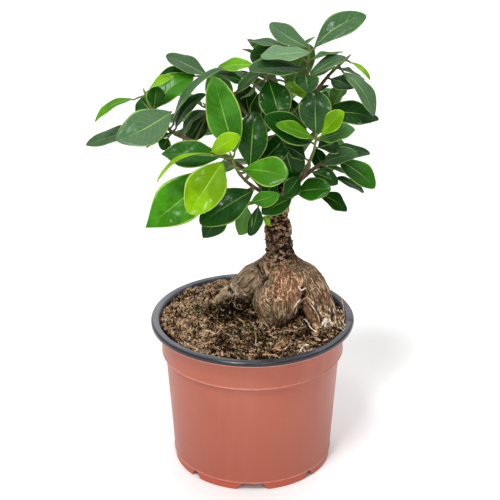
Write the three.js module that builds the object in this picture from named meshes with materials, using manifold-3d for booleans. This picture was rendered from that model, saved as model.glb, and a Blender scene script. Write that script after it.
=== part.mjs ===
// A young Chinese banyan trained as a bonsai, growing in its plastic nursery pot.
// Millimetres, +Z up. The group stands on z = 0, with its box centred on the Z axis.
import * as THREE from "three";
import { mergeVertices } from "three/addons/utils/BufferGeometryUtils.js";
import Module from "manifold-3d";

const wasm = await Module();
wasm.setup();

// Pot
const potHeight = 92.3;
const lipRadius = 60.3;
const lipDrop = 3;
const lipRounding = 0.8;
const lipFlat = 4;
const collarTopRadius = 54.9;
const collarFootRadius = 53.9;
const ridgeLevel = 71.8;
const ridgeStand = 1.9;
const bodyFootRadius = 47.8;
const footRadius = 47.9;
const footHeight = 5;
const footThickness = 2.4;
const wallThickness = 1.4;
const floorThickness = 1.6;
const potSides = 40;
const notchPairs = 4;
const wideNotch = { bottom: 22, top: 12 };
const narrowNotch = { bottom: 8, top: 3 };
const drainRadius = 3.2;
const drainCircle = 34;

// Soil
const clearance = 0.3;
const soilEdgeLevel = 88.7;
const soilDome = 1.6;
const soilReliefHeight = 0.8;
const soilGap = 0.6;
const soilSides = 36;
const soilTopRings = 7;

// Where the plant's points are seen from: the eye of a person standing in front of the plant.
const eyeDistance = 700;
const eyeHeight = 443;
const eyePitch = THREE.MathUtils.degToRad(23.8);
const pictureScale = 1311;
const pictureAxis = 252.3;
const pictureMiddle = 250;
const trunkDepth = 12;

// Leaves and wood
const bladeThickness = 0.7;
const bladeFold = 0.22;
const longBladeStations = [0.12, 0.38, 0.66, 0.89];
const shortBladeStations = [0.18, 0.54, 0.85];
const longBlade = 30;
const widestDefault = 0.54;
const outlineFullness = 0.72;
const pointing = 0.5;
const petioleRadius = 0.7;
const shortestStalk = 2.5;
const stemSides = 6;
const curveSteps = 60;
const stemFootSteps = 12;
const woodSides = 12;
const stemThick = 1.5;
const stemThin = 0.8;
const leanSteps = [0, 3, -3, 6, -6, 9, -9, 13, -13, 17, -17];

// Leaves of the shoots that no one sees from the front
const seed = 20417;
const goldenAngle = THREE.MathUtils.degToRad(137.5);
const rearLeafLength = 29;
const rearLeafWidth = 16;

const bark = new THREE.MeshStandardMaterial({ color: 0x7a6250, roughness: 0.85, metalness: 0 });
const plastic = new THREE.MeshStandardMaterial({ color: 0xb8664f, roughness: 0.5, metalness: 0 });
const peat = new THREE.MeshStandardMaterial({ color: 0x3c2a1e, roughness: 1, metalness: 0 });
const grownGreen = new THREE.MeshStandardMaterial({ color: 0x24501c, roughness: 0.35, metalness: 0 });

const eye = new THREE.Vector3(0, -eyeDistance, eyeHeight);
const ahead = new THREE.Vector3(0, Math.cos(eyePitch), -Math.sin(eyePitch));
const above = new THREE.Vector3(0, Math.sin(eyePitch), Math.cos(eyePitch));

// The point seen at (x, y) of the picture, `near` millimetres in front of the trunk.
function seen([x, y, near]) {
  const ray = ahead.clone();
  ray.x += (x - pictureAxis) / pictureScale;
  ray.addScaledVector(above, (pictureMiddle - y) / pictureScale);
  return ray.multiplyScalar((trunkDepth - near - eye.y) / ray.y).add(eye);
}

// Roots, trunk and limbs: each a swelling tube. A station is where its middle is seen and its radius.
const woodyTubes = {
  trunk: [
    [[279, 186, 0], 4.6], [[279, 200, 0], 5.2], [[279, 214, 0], 5.8], [[278, 229, 0], 7.9],
    [[279, 243, 0], 7.4], [[280, 255, 0], 8.6], [[281, 268, 0], 12], [[281, 282, -2], 12],
  ],
  frontLobe: [
    [[285, 262, 0], 8], [[286, 274, 4], 11.6], [[283, 285, 9], 13.8], [[278, 296, 13], 14.6],
    [[276, 305, 16], 13.8], [[275, 313, 18], 11.8], [[273, 321, 19], 8], [[272, 329, 19], 3],
  ],
  shoulder: [
    [[288, 266, 1], 7], [[295, 277, 5], 12], [[301, 288, 7], 11.4], [[302, 297, 7], 7],
  ],
  leftLobe: [
    [[276, 263, -1], 7], [[266, 273, -2], 10], [[256, 281, -3], 11.4], [[246, 288, -5], 10],
    [[235, 294, -7], 7], [[224, 300, -9], 4.4], [[213, 307, -10], 2.6], [[205, 314, -11], 1.2],
  ],
  rightLobe: [
    [[288, 266, -1], 8], [[299, 277, 1], 11.2], [[308, 288, 3], 12.2], [[315, 298, 5], 10.8],
    [[322, 309, 7], 8.6], [[328, 319, 7], 5.8], [[329, 329, 8], 2.6],
  ],
  fingerRoot: [
    [[305, 292, 9], 6], [[310, 303, 12], 4.8], [[314, 314, 14], 4], [[317, 325, 15], 2.8],
    [[318, 334, 15], 1.4],
  ],
  edgeRoot: [
    [[318, 300, 4], 5.4], [[325, 310, 3], 4.2], [[331, 319, 3], 2.6], [[333, 328, 3], 1.2],
  ],
  backRoot: [
    [[284, 262, -3], 8], [[290, 272, -11], 8.6], [[294, 282, -17], 6], [[297, 291, -22], 3.4],
    [[299, 299, -24], 1.4],
  ],
  backLeftRoot: [
    [[274, 262, -3], 7], [[264, 272, -11], 8], [[255, 281, -18], 5.4], [[247, 289, -24], 3],
    [[242, 297, -28], 1.4],
  ],
  leader: [[[279, 196, 0], 4.8], [[282, 183, -2], 4.4], [[287, 167, -4], 3.6], [[292, 150, -4], 2.8]],
};

// Leafy stems. Points are [picture x, picture y, near]; widths are millimetres, turns degrees.
const shoots = {
  top: {
    path: [[292, 150, -4], [302, 112, 0], [307, 80, 4], [309, 52, 6]],
    leaves: [
      { base: [311, 50, 6], tip: [366, 15, -4], width: 15, turn: 22, arch: 0.04, widest: 0.6 },
      { base: [309, 48, 4], tip: [270, 23, -8], width: 14, turn: -40, arch: 0.03 },
      { base: [292, 49, -2], tip: [248, 41, -12], width: 13, turn: -72, arch: 0.03 },
      { base: [311, 52, 9], tip: [261, 58, 24], width: 16, turn: -58, arch: 0.02 },
      { base: [282, 53, -8], tip: [250, 56, -20], width: 15, turn: -20, arch: 0.05 },
      { base: [311, 59, 4], tip: [342, 52, -8], width: 12, turn: 78, arch: 0.03 },
      { base: [309, 76, 9], tip: [346, 57, 4], width: 14, turn: 60, arch: 0.06 },
      { base: [310, 79, 2], tip: [334, 66, -12], width: 12, turn: 60, arch: 0.05 },
      { base: [304, 69, 12], tip: [249, 70, 30], width: 17, turn: -55, arch: 0.03 },
      { base: [305, 76, 12], tip: [308, 93, 32], width: 14, turn: 10, arch: 0.1 },
    ],
  },
  right_twig: {
    path: [[304, 110, -2], [318, 89, -8], [330, 74, -10], [345, 60, -10]],
    leaves: [
      { base: [351, 62, -9], tip: [370, 79, -3], width: 7, turn: 72, arch: 0.16 },
      { base: [343, 72, -6], tip: [374, 116, 8], width: 16, turn: 55, arch: 0.2 },
      { base: [328, 79, -8], tip: [354, 88, 0], width: 15, turn: 45, arch: 0.06 },
      { base: [340, 69, -14], tip: [364, 80, -22], width: 12, turn: 80, arch: 0.05 },
      { base: [330, 76, -8], tip: [329, 64, -2], width: 9, turn: 10, arch: 0.1 },
      { base: [316, 116, -6], tip: [379, 120, -4], width: 15, turn: 22, arch: 0.06 },
    ],
  },
  front_right: {
    path: [
      [281, 203, 1], [291, 191, 7], [302, 178, 11], [308, 165, 16], [314, 150, 22], [316, 139, 26],
    ],
    leaves: [
      { base: [316, 137, 26], tip: [315, 90, 18], width: 19, turn: 5, arch: 0.04 },
      { base: [320, 137, 28], tip: [344, 112, 38], width: 11, turn: 30, arch: 0.06, widest: 0.66 },
      { base: [318, 142, 26], tip: [355, 130, 32], width: 13, turn: 42, arch: 0.05 },
      { base: [313, 138, 28], tip: [276, 125, 42], width: 10, turn: -40, arch: 0.05 },
      { base: [312, 145, 25], tip: [264, 118, 38], width: 18, turn: -30, arch: 0.06 },
      { base: [318, 148, 22], tip: [338, 144, 12], width: 14, turn: 30, arch: 0.05 },
      { base: [312, 159, 16], tip: [284, 145, 20], width: 14, turn: -50, arch: 0.05 },
      { base: [300, 176, 14], tip: [284, 197, 22], width: 11, turn: 20, arch: 0.05 },
      { base: [296, 192, 14], tip: [331, 189, 22], width: 15, turn: 25, arch: 0.06 },
      { base: [292, 198, 16], tip: [262, 214, 26], width: 13, turn: -25, arch: 0.06 },
    ],
  },
  right: {
    path: [[301, 179, 9], [312, 170, 6], [322, 163, 4], [331, 158, 2]],
    leaves: [
      { base: [320, 167, 6], tip: [358, 156, 18], width: 14, turn: 48, arch: 0.1 },
      { base: [326, 156, 0], tip: [370, 153, -10], width: 13, turn: 50, arch: 0.08 },
      { base: [338, 160, 2], tip: [375, 188, 12], width: 15, turn: 30, arch: 0.1 },
      { base: [326, 167, 0], tip: [352, 176, -6], width: 10, turn: 72, arch: 0.05 },
      { base: [312, 172, 9], tip: [338, 184, 16], width: 11, turn: 28, arch: 0.08 },
    ],
  },
  low_right: {
    path: [[290, 193, 5], [300, 190, 2], [312, 187, 0], [324, 182, -2]],
    leaves: [
      { base: [318, 193, 4], tip: [347, 211, 6], width: 12, turn: 40, arch: 0.08 },
      { base: [334, 178, 0], tip: [364, 192, -6], width: 11, turn: 62, arch: 0.06 },
    ],
  },
  low_left: {
    path: [[277, 207, 2], [268, 203, 9], [258, 202, 14], [250, 204, 18]],
    leaves: [
      { base: [251, 202, 24], tip: [279, 194, 32], width: 10, turn: -20, arch: 0.06 },
      { base: [247, 206, 16], tip: [239, 235, 14], width: 12, turn: 150, arch: 0.05 },
      { base: [259, 206, 14], tip: [250, 236, 16], width: 10, turn: 30, arch: 0.05 },
    ],
  },
  front_left: {
    path: [[277, 200, 2], [268, 195, 8], [257, 189, 14], [246, 181, 21], [237, 170, 27], [232, 158, 30]],
    leaves: [
      { base: [275, 182, 8], tip: [264, 196, 16], width: 13, turn: 10, arch: 0.05 },
      { base: [235, 153, 30], tip: [214, 77, 20], width: 20, turn: 12, arch: 0.03, widest: 0.5 },
      { base: [211, 152, 36], tip: [240, 136, 46], width: 11, turn: 15, arch: 0.05 },
      { base: [214, 155, 36], tip: [157, 182, 50], width: 9, turn: -76, arch: 0.18 },
      { base: [223, 161, 36], tip: [189, 214, 54], width: 22, turn: 0, arch: 0.06 },
      { base: [213, 172, 30], tip: [145, 228, 44], width: 26, turn: -10, arch: 0.08, widest: 0.5, point: 1 },
      { base: [221, 157, 28], tip: [161, 154, 32], width: 17, turn: -20, arch: 0.05, widest: 0.54, point: 0.8 },
      { base: [254, 190, 22], tip: [200, 224, 34], width: 20, turn: -15, arch: 0.06 },
      { base: [226, 207, 14], tip: [203, 238, 18], width: 14, turn: 20, arch: 0.05, widest: 0.54, point: 0.5 },
      { base: [234, 171, 28], tip: [288, 176, 46], width: 18, turn: 18, arch: 0.1, widest: 0.68 },
      { base: [250, 168, 26], tip: [254, 111, 16], width: 18, turn: 0, arch: 0.05 },
      { base: [256, 170, 20], tip: [287, 137, 8], width: 18, turn: 20, arch: 0.05 },
      { base: [282, 139, 12], tip: [294, 179, 20], width: 19, turn: 0, arch: 0.05 },
    ],
  },
  far_left: {
    path: [
      [270, 196, -2], [245, 170, 0], [215, 152, 2], [190, 140, 4],
      [172, 132, 4], [160, 118, 4], [150, 106, 4], [146, 96, 4],
    ],
    leaves: [
      { base: [148, 91, 5], tip: [174, 77, 10], width: 9, turn: 62, arch: 0.1 },
      { base: [135, 99, 7], tip: [95, 122, 12], width: 9, turn: -58, arch: 0.15 },
      { base: [171, 112, 8], tip: [117, 141, 24], width: 22, turn: -22, arch: 0.05, widest: 0.5 },
      { base: [146, 129, 4], tip: [86, 145, 4], width: 14, turn: -50, arch: 0.03 },
      { base: [156, 111, 3], tip: [170, 89, -6], width: 13, turn: 30, arch: 0.05 },
      { base: [154, 110, 4], tip: [156, 86, 2], width: 12, turn: -20, arch: 0.05 },
      { base: [152, 112, 0], tip: [140, 99, -8], width: 14, turn: 0, arch: 0.05 },
      { base: [155, 109, 0], tip: [193, 76, -12], width: 17, turn: 30, arch: 0.05 },
      { base: [171, 130, 6], tip: [223, 68, 8], width: 16, turn: 75, arch: 0.12 },
      { base: [174, 130, 2], tip: [206, 94, 2], width: 15, turn: 60, arch: 0.12 },
      { base: [184, 139, 0], tip: [207, 111, -2], width: 13, turn: 65, arch: 0.2 },
      { base: [205, 114, -10], tip: [188, 140, -6], width: 14, turn: 20, arch: 0.05 },
      { base: [168, 138, 6], tip: [162, 150, 9], width: 8, turn: 0, arch: 0.05 },
      { base: [178, 131, 8], tip: [146, 148, 14], width: 10, turn: -80, arch: 0.03 },
      { base: [170, 134, 8], tip: [155, 136, 14], width: 7, turn: -50, arch: 0.05 },
    ],
  },
  top_left: {
    path: [[279, 185, -6], [262, 140, -8], [240, 105, -8], [222, 85, -10], [212, 78, -10]],
    leaves: [
      { base: [208, 76, -10], tip: [166, 55, -18], width: 13, turn: -42, arch: 0.02 },
      { base: [196, 76, -16], tip: [157, 79, -22], width: 13, turn: -30, arch: 0.08 },
      { base: [246, 83, -4], tip: [214, 74, 2], width: 12, turn: -58, arch: 0.05 },
      { base: [250, 79, -10], tip: [223, 72, -18], width: 12, turn: -78, arch: 0.05 },
      { base: [252, 124, -12], tip: [244, 84, -20], width: 16, turn: 15, arch: 0.06 },
      { base: [262, 132, -8], tip: [263, 92, -14], width: 15, turn: -20, arch: 0.06 },
    ],
  },
  top_centre: {
    path: [[284, 170, -4], [280, 130, 2], [276, 100, 6], [271, 78, 9]],
    leaves: [
      { base: [254, 65, 4], tip: [218, 67, -2], width: 11, turn: -48, arch: 0.04 },
      { base: [281, 70, 14], tip: [238, 92, 28], width: 13, turn: -66, arch: 0.14 },
      { base: [268, 79, 16], tip: [281, 120, 28], width: 19, turn: 5, arch: 0.06 },
      { base: [254, 86, 14], tip: [241, 98, 22], width: 10, turn: 100, arch: 0.1 },
      { base: [285, 82, 12], tip: [304, 98, 22], width: 9, turn: 40, arch: 0.05 },
      { base: [281, 83, 18], tip: [265, 73, 22], width: 10, turn: -20, arch: 0.05 },
    ],
  },
  back_top: {
    path: [[291, 156, -5], [288, 122, -22], [287, 92, -32], [284, 68, -34]],
    rearLeaves: 11,
  },
  back_left: {
    path: [[281, 186, -4], [258, 158, -20], [232, 132, -32], [208, 108, -36]],
    rearLeaves: 11,
  },
  back_right: {
    path: [[289, 162, -5], [306, 142, -20], [318, 128, -30], [331, 115, -34]],
    rearLeaves: 10,
  },
  back_low: {
    path: [[280, 190, -1], [284, 180, -18], [292, 170, -34], [298, 158, -44]],
    rearLeaves: 7,
  },
};

// A closed skin over rings of points. A ring of one point is a pole, any other end is closed flat.
// From `mirrorFrom` on, a ring's sides are split the other way, so that both faces of a blade agree.
function skin(rings, mirrorFrom = Infinity) {
  const corners = [];
  const put = (...points) => points.forEach((point) => corners.push(point.x, point.y, point.z));
  rings.slice(1).forEach((upper, k) => {
    const lower = rings[k];
    const count = Math.max(lower.length, upper.length);
    for (let i = 0; i < count; i++) {
      const j = (i + 1) % count;
      if (lower.length === 1) put(lower[0], upper[j], upper[i]);
      else if (upper.length === 1) put(lower[i], lower[j], upper[0]);
      else if (i >= mirrorFrom) put(lower[i], lower[j], upper[i], lower[j], upper[j], upper[i]);
      else put(lower[i], lower[j], upper[j], lower[i], upper[j], upper[i]);
    }
  });
  const [first, last] = [rings[0], rings[rings.length - 1]];
  for (let i = 1; i < first.length - 1; i++) put(first[0], first[i + 1], first[i]);
  for (let i = 1; i < last.length - 1; i++) put(last[0], last[i], last[i + 1]);
  return new THREE.BufferGeometry().setAttribute("position", new THREE.Float32BufferAttribute(corners, 3));
}

function solid(geometry) {
  const bare = geometry.clone().deleteAttribute("normal").deleteAttribute("uv");
  const merged = mergeVertices(bare, 1e-4);
  return new wasm.Manifold(
    new wasm.Mesh({
      numProp: 3,
      vertProperties: merged.attributes.position.array,
      triVerts: new Uint32Array(merged.index.array),
    }),
  );
}

function join(solids) {
  return solids.reduce((whole, piece) => whole.add(piece));
}

function largestBody(whole) {
  return whole.decompose().reduce((best, body) => (body.volume() > best.volume() ? body : best));
}

function named(name, whole, material) {
  const made = whole.getMesh();
  const geometry = new THREE.BufferGeometry();
  geometry.setAttribute("position", new THREE.BufferAttribute(made.vertProperties, 3));
  geometry.setIndex(new THREE.BufferAttribute(made.triVerts, 1));
  geometry.computeVertexNormals();
  const mesh = new THREE.Mesh(geometry, material);
  mesh.name = name;
  return mesh;
}

// Rings round a line of points, turned as little as possible from one to the next.
function tubeRings(points, radii, sides) {
  const forward = points.map((point, i) => {
    const from = points[Math.max(i - 1, 0)];
    const to = points[Math.min(i + 1, points.length - 1)];
    return to.clone().sub(from).normalize();
  });
  let across = new THREE.Vector3(0, 1, 0).cross(forward[0]);
  if (across.length() < 0.1) across = new THREE.Vector3(1, 0, 0);
  return points.map((point, i) => {
    across.addScaledVector(forward[i], -across.dot(forward[i])).normalize();
    const out = forward[i].clone().cross(across);
    return Array.from({ length: sides }, (_, k) => {
      const angle = (2 * Math.PI * k) / sides;
      return point
        .clone()
        .addScaledVector(across, radii[i] * Math.cos(angle))
        .addScaledVector(out, radii[i] * Math.sin(angle));
    });
  });
}

function tube(points, radii, sides) {
  return solid(skin(tubeRings(points, radii, sides)));
}

function lathe(profile, sides) {
  return solid(
    new THREE.LatheGeometry(profile.map(([radius, height]) => new THREE.Vector2(radius, height)), sides)
      .rotateX(Math.PI / 2),
  );
}

// Pot: a turned shell with a rolled lip, a collar and a foot ring that is notched for drainage.
const lipUnderside = potHeight - lipDrop;
const floorLevel = footHeight + floorThickness;
const innerFootRadius = bodyFootRadius - wallThickness;
const innerRidgeRadius = collarFootRadius - ridgeStand - wallThickness;
const innerCollarRadius = collarTopRadius - wallThickness;

const potProfile = [
  [0, footHeight],
  [footRadius - footThickness, footHeight],
  [footRadius - footThickness, 0],
  [footRadius, 0],
  [footRadius, footHeight - 1],
  [bodyFootRadius, footHeight],
  [collarFootRadius - ridgeStand, ridgeLevel - ridgeStand],
  [collarFootRadius, ridgeLevel],
  [collarTopRadius, lipUnderside],
  [lipRadius, lipUnderside],
  [lipRadius, potHeight - lipRounding],
  [lipRadius - lipRounding, potHeight],
  [lipRadius - lipFlat, potHeight],
  [innerCollarRadius, lipUnderside],
  [innerRidgeRadius, ridgeLevel],
  [innerFootRadius, floorLevel],
  [0, floorLevel],
];

function notch({ bottom, top }, angle) {
  const outline = new THREE.Shape([
    new THREE.Vector2(-bottom / 2, -1),
    new THREE.Vector2(bottom / 2, -1),
    new THREE.Vector2(top / 2, footHeight),
    new THREE.Vector2(-top / 2, footHeight),
  ]);
  const cutter = new THREE.ExtrudeGeometry(outline, { depth: footRadius, bevelEnabled: false });
  return solid(cutter.rotateX(Math.PI / 2).translate(0, -footRadius / 2, 0).rotateZ(angle));
}

function drain(angle) {
  const cutter = new THREE.CylinderGeometry(drainRadius, drainRadius, 4 * floorThickness, 10);
  return solid(cutter.rotateX(Math.PI / 2).translate(0, -drainCircle, floorLevel).rotateZ(angle));
}

function makePot() {
  let pot = lathe(potProfile, potSides);
  for (let k = 0; k < notchPairs; k++) {
    const angle = (2 * Math.PI * k) / notchPairs;
    const between = angle + Math.PI / notchPairs;
    pot = pot.subtract(notch(wideNotch, angle)).subtract(notch(narrowNotch, between));
    pot = pot.subtract(drain(angle));
  }
  return pot;
}

// Rootstock: swollen roots, trunk and limbs, grown as one. `spare` makes it that much fatter.
function makeRootstock(spare = 0) {
  return join(
    Object.values(woodyTubes).map((stations) =>
      tube(
        stations.map(([place]) => seen(place)),
        stations.map(([, radius]) => radius + spare),
        woodSides,
      ),
    ),
  );
}

// Soil: fills the pot to just under the lip, lumpy on top, with a hollow that the roots stand in.
function soilTop(radius, angle) {
  const share = radius / innerCollarRadius;
  const lumps = Math.sin(5 * angle + 9 * share) * Math.sin(13 * share) + 0.6 * Math.sin(11 * angle - 7 * share);
  return soilEdgeLevel + soilDome * (1 - share * share) + soilReliefHeight * lumps * share;
}

function soilRing(radius, level) {
  return Array.from({ length: soilSides }, (_, k) => {
    const angle = (2 * Math.PI * k) / soilSides;
    const height = level ?? soilTop(radius, angle);
    return new THREE.Vector3(radius * Math.cos(angle), radius * Math.sin(angle), height);
  });
}

function makeSoil(rootSpace) {
  const wallSlope = (innerCollarRadius - innerRidgeRadius) / (lipUnderside - ridgeLevel);
  const topRadius = innerCollarRadius - wallSlope * (lipUnderside - soilEdgeLevel) - soilGap;
  const bottom = floorLevel + clearance;
  const rings = [
    [new THREE.Vector3(0, 0, bottom)],
    soilRing(innerFootRadius - soilGap, bottom),
    soilRing(innerRidgeRadius - soilGap, ridgeLevel),
  ];
  for (let k = soilTopRings; k > 0; k--) rings.push(soilRing((topRadius * k) / soilTopRings));
  rings.push([new THREE.Vector3(0, 0, soilTop(0, 0))]);
  return largestBody(solid(skin(rings)).subtract(rootSpace));
}

// A leaf blade: chord from base to tip, folded up along its midrib and arched along its length.
function bladeFrame({ base, tip, facing, turn }) {
  const chord = tip.clone().sub(base);
  const length = chord.length();
  chord.normalize();
  const flat = facing.clone().addScaledVector(chord, -facing.dot(chord)).normalize();
  const beside = flat.clone().cross(chord);
  const angle = THREE.MathUtils.degToRad(turn);
  const normal = flat.multiplyScalar(Math.cos(angle)).addScaledVector(beside, Math.sin(angle));
  return { chord, length, normal, side: chord.clone().cross(normal) };
}

// Half the width of a blade at a share of its length. `point` of 1 draws the tip out to a point.
function halfWidth(share, widest, point) {
  const skew = Math.log(0.5) / Math.log(widest);
  return Math.max(0, Math.sin(Math.PI * share ** skew)) ** (outlineFullness + pointing * point * share);
}

function bladePoint(leaf, frame, share, across, lift) {
  const half = (leaf.width / 2) * halfWidth(share, leaf.widest, leaf.point);
  const rise = leaf.arch * frame.length * 4 * share * (1 - share) + bladeFold * Math.abs(across) * half;
  return leaf.base
    .clone()
    .addScaledVector(frame.chord, frame.length * share)
    .addScaledVector(frame.normal, rise + lift)
    .addScaledVector(frame.side, across * half);
}

// A six-sided ring of the leaf stalk, square to the way the stalk heads.
function stalkRing(frame, place, heading, radius) {
  const side = frame.side.clone().addScaledVector(heading, -frame.side.dot(heading)).normalize();
  const top = side.clone().cross(heading);
  const corner = (across, up) =>
    place
      .clone()
      .addScaledVector(side, across * radius * Math.sin(Math.PI / 3))
      .addScaledVector(top, up * radius);
  return [corner(-1, 0.5), corner(0, 1), corner(1, 0.5), corner(1, -0.5), corner(0, -1), corner(-1, -0.5)];
}

// A whole leaf in one skin: from inside the stem along the stalk, then the blade out to its tip.
function grownLeaf(leaf, thickness) {
  const frame = bladeFrame(leaf);
  const lift = thickness / 2;
  const heading = leaf.base.clone().sub(leaf.root).normalize();
  const turning = heading.clone().add(frame.chord).normalize();
  const stations = frame.length > longBlade ? longBladeStations : shortBladeStations;
  const bladeRings = stations.map((share) => [
    ...[-1, 0, 1].map((across) => bladePoint(leaf, frame, share, across, lift)),
    ...[1, 0, -1].map((across) => bladePoint(leaf, frame, share, across, -lift)),
  ]);
  const stalkRings = [
    stalkRing(frame, leaf.root, heading, petioleRadius),
    stalkRing(frame, leaf.base, turning, petioleRadius),
  ];
  return solid(skin([...stalkRings, ...bladeRings, [leaf.tip]], 3));
}

function stemCurve(shoot) {
  return new THREE.CatmullRomCurve3(shoot.path.map(seen));
}

function stemWood(shoot, spare = 0) {
  const steps = shoot.path.length;
  const points = stemCurve(shoot).getPoints(steps);
  const radii = points.map((_, k) => THREE.MathUtils.lerp(stemThick, stemThin, k / steps) + spare);
  return tube(points, radii, stemSides);
}

// The place on a stem that is nearest to a leaf's base, past the foot of the stem.
function nearestOn(curve, place) {
  const points = curve.getPoints(curveSteps).slice(stemFootSteps);
  return points.reduce((best, point) => (point.distanceTo(place) < best.distanceTo(place) ? point : best));
}

// A seeded stream of numbers from 0 to 1.
function makeDraw(start) {
  let state = start;
  return () => {
    state = (state * 16807) % 2147483647;
    return state / 2147483647;
  };
}

// Leaves of a rear shoot: one after another round the stem, each leaning out and up from it.
function rearLeaves(shoot, draw) {
  const curve = stemCurve(shoot);
  const points = curve.getPoints(curveSteps);
  const up = new THREE.Vector3(0, 0, 1);
  return Array.from({ length: shoot.rearLeaves }, (_, k) => {
    const place = 1 - (0.72 * k) / shoot.rearLeaves;
    const index = Math.round(place * (curveSteps - 1));
    const along = points[index + 1].clone().sub(points[index]).normalize();
    const aside = up.clone().cross(along).normalize();
    const over = along.clone().cross(aside);
    const angle = k * goldenAngle;
    const heading = along
      .clone()
      .multiplyScalar(0.75 - 0.5 * (1 - place))
      .addScaledVector(aside, Math.cos(angle))
      .addScaledVector(over, Math.sin(angle))
      .addScaledVector(new THREE.Vector3(0, 1, 0), 0.35)
      .normalize();
    const root = points[index];
    const size = 0.8 + 0.4 * draw();
    const base = root.clone().addScaledVector(heading, 5);
    const tip = base.clone().addScaledVector(heading, rearLeafLength * size);
    return {
      base,
      tip,
      root,
      facing: new THREE.Vector3(0, 0.5, 0.9),
      pull: new THREE.Vector3(0, 0.5, 0.9).normalize(),
      width: rearLeafWidth * size,
      turn: 30 * (draw() - 0.5),
      arch: 0.06,
      widest: widestDefault,
      point: 0,
    };
  });
}

function drawnLeaves(shoot) {
  const curve = stemCurve(shoot);
  return shoot.leaves.map((drawn) => {
    const base = seen(drawn.base);
    const tip = seen(drawn.tip);
    const middle = base.clone().lerp(tip, 0.5);
    const root = nearestOn(curve, base);
    if (root.distanceTo(base) < shortestStalk) {
      base.copy(root).addScaledVector(tip.clone().sub(root).normalize(), shortestStalk);
    }
    return {
      ...drawn,
      base,
      tip,
      root,
      facing: eye.clone().sub(middle).normalize(),
      pull: eye.clone().sub(tip).normalize(),
      widest: drawn.widest ?? widestDefault,
      point: drawn.point ?? 0,
    };
  });
}

// A leaf is leaned a little nearer or farther until it is clear of all that is placed already.
function leaned(leaf, lean) {
  return { ...leaf, tip: leaf.tip.clone().addScaledVector(leaf.pull, lean) };
}

function touches(one, other) {
  const [a, b] = [one.boundingBox(), other.boundingBox()];
  const apart = [0, 1, 2].some((axis) => a.min[axis] > b.max[axis] || b.min[axis] > a.max[axis]);
  return !apart && !one.intersect(other).isEmpty();
}

// Each leafy stem is cut from the wood before it. Its leaves join it where they find room.
function makeCrown(rootSpace) {
  const draw = makeDraw(seed);
  const placed = [{ owner: "rootstock", part: rootSpace }];
  const stems = new Map();
  let taken = rootSpace;
  for (const [name, shoot] of Object.entries(shoots)) {
    const wood = largestBody(stemWood(shoot).subtract(taken));
    taken = taken.add(stemWood(shoot, clearance));
    placed.push({ owner: name, part: wood });
    stems.set(name, wood);
  }
  for (const [name, shoot] of Object.entries(shoots)) {
    const leaves = shoot.leaves ? drawnLeaves(shoot) : rearLeaves(shoot, draw);
    for (const leaf of leaves) {
      for (const lean of leanSteps) {
        const trial = leaned(leaf, lean);
        const space = grownLeaf(trial, bladeThickness + 2 * clearance);
        if (placed.some((other) => other.owner !== name && touches(space, other.part))) continue;
        const part = grownLeaf(trial, bladeThickness);
        placed.push({ owner: name, part });
        stems.set(name, stems.get(name).add(part));
        break;
      }
    }
  }
  return stems;
}

const bonsai = new THREE.Group();
const rootstock = makeRootstock();
const rootSpace = makeRootstock(clearance);
bonsai.add(named("pot", makePot(), plastic));
bonsai.add(named("soil", makeSoil(rootSpace), peat));
bonsai.add(named("rootstock", rootstock, bark));
for (const [name, stem] of makeCrown(rootSpace)) {
  bonsai.add(named(`leafy_stem_${name}`, stem, grownGreen));
}

const box = new THREE.Box3().setFromObject(bonsai);
bonsai.position.set(-(box.min.x + box.max.x) / 2, -(box.min.y + box.max.y) / 2, -box.min.z);

export default bonsai;
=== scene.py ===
# The looks of a young Chinese banyan bonsai in its nursery pot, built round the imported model.
# Sizes are millimetres on the plant's own axes, with the pot's axis at x = y = 0, until a mesh is made.
import math
from collections import namedtuple

import bmesh
import bpy
import numpy as np
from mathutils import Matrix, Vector, noise
from mathutils.bvhtree import BVHTree


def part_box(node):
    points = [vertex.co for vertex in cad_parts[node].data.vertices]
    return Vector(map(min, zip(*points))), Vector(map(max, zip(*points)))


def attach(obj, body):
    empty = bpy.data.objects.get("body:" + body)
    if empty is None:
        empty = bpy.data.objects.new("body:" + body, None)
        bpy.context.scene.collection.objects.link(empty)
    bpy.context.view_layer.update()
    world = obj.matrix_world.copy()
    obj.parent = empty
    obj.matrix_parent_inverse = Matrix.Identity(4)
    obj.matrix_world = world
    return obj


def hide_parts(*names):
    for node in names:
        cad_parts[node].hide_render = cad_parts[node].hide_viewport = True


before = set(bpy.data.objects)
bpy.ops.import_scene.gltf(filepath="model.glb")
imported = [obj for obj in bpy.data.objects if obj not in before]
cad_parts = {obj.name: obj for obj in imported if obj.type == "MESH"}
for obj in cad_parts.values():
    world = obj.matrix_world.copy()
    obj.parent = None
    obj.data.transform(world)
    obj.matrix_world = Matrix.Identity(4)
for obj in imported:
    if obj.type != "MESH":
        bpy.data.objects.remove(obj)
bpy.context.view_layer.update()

MM = 0.001
pot_low, pot_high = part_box("pot")
POT_AXIS = np.array([(pot_low.x + pot_high.x) / 2, (pot_low.y + pot_high.y) / 2, 0]) / MM

# Where the plant's points are seen from, as in the part's source
EYE = np.array([0.0, -700.0, 443.0])
PITCH = math.radians(23.8)
PICTURE_SIZE = 500
PICTURE_SCALE = 1311
PICTURE_AXIS = 252.3
PICTURE_MIDDLE = 250
TRUNK_DEPTH = 12
AHEAD = np.array([0.0, math.cos(PITCH), -math.sin(PITCH)])
ABOVE = np.array([0.0, math.sin(PITCH), math.cos(PITCH)])

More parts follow.
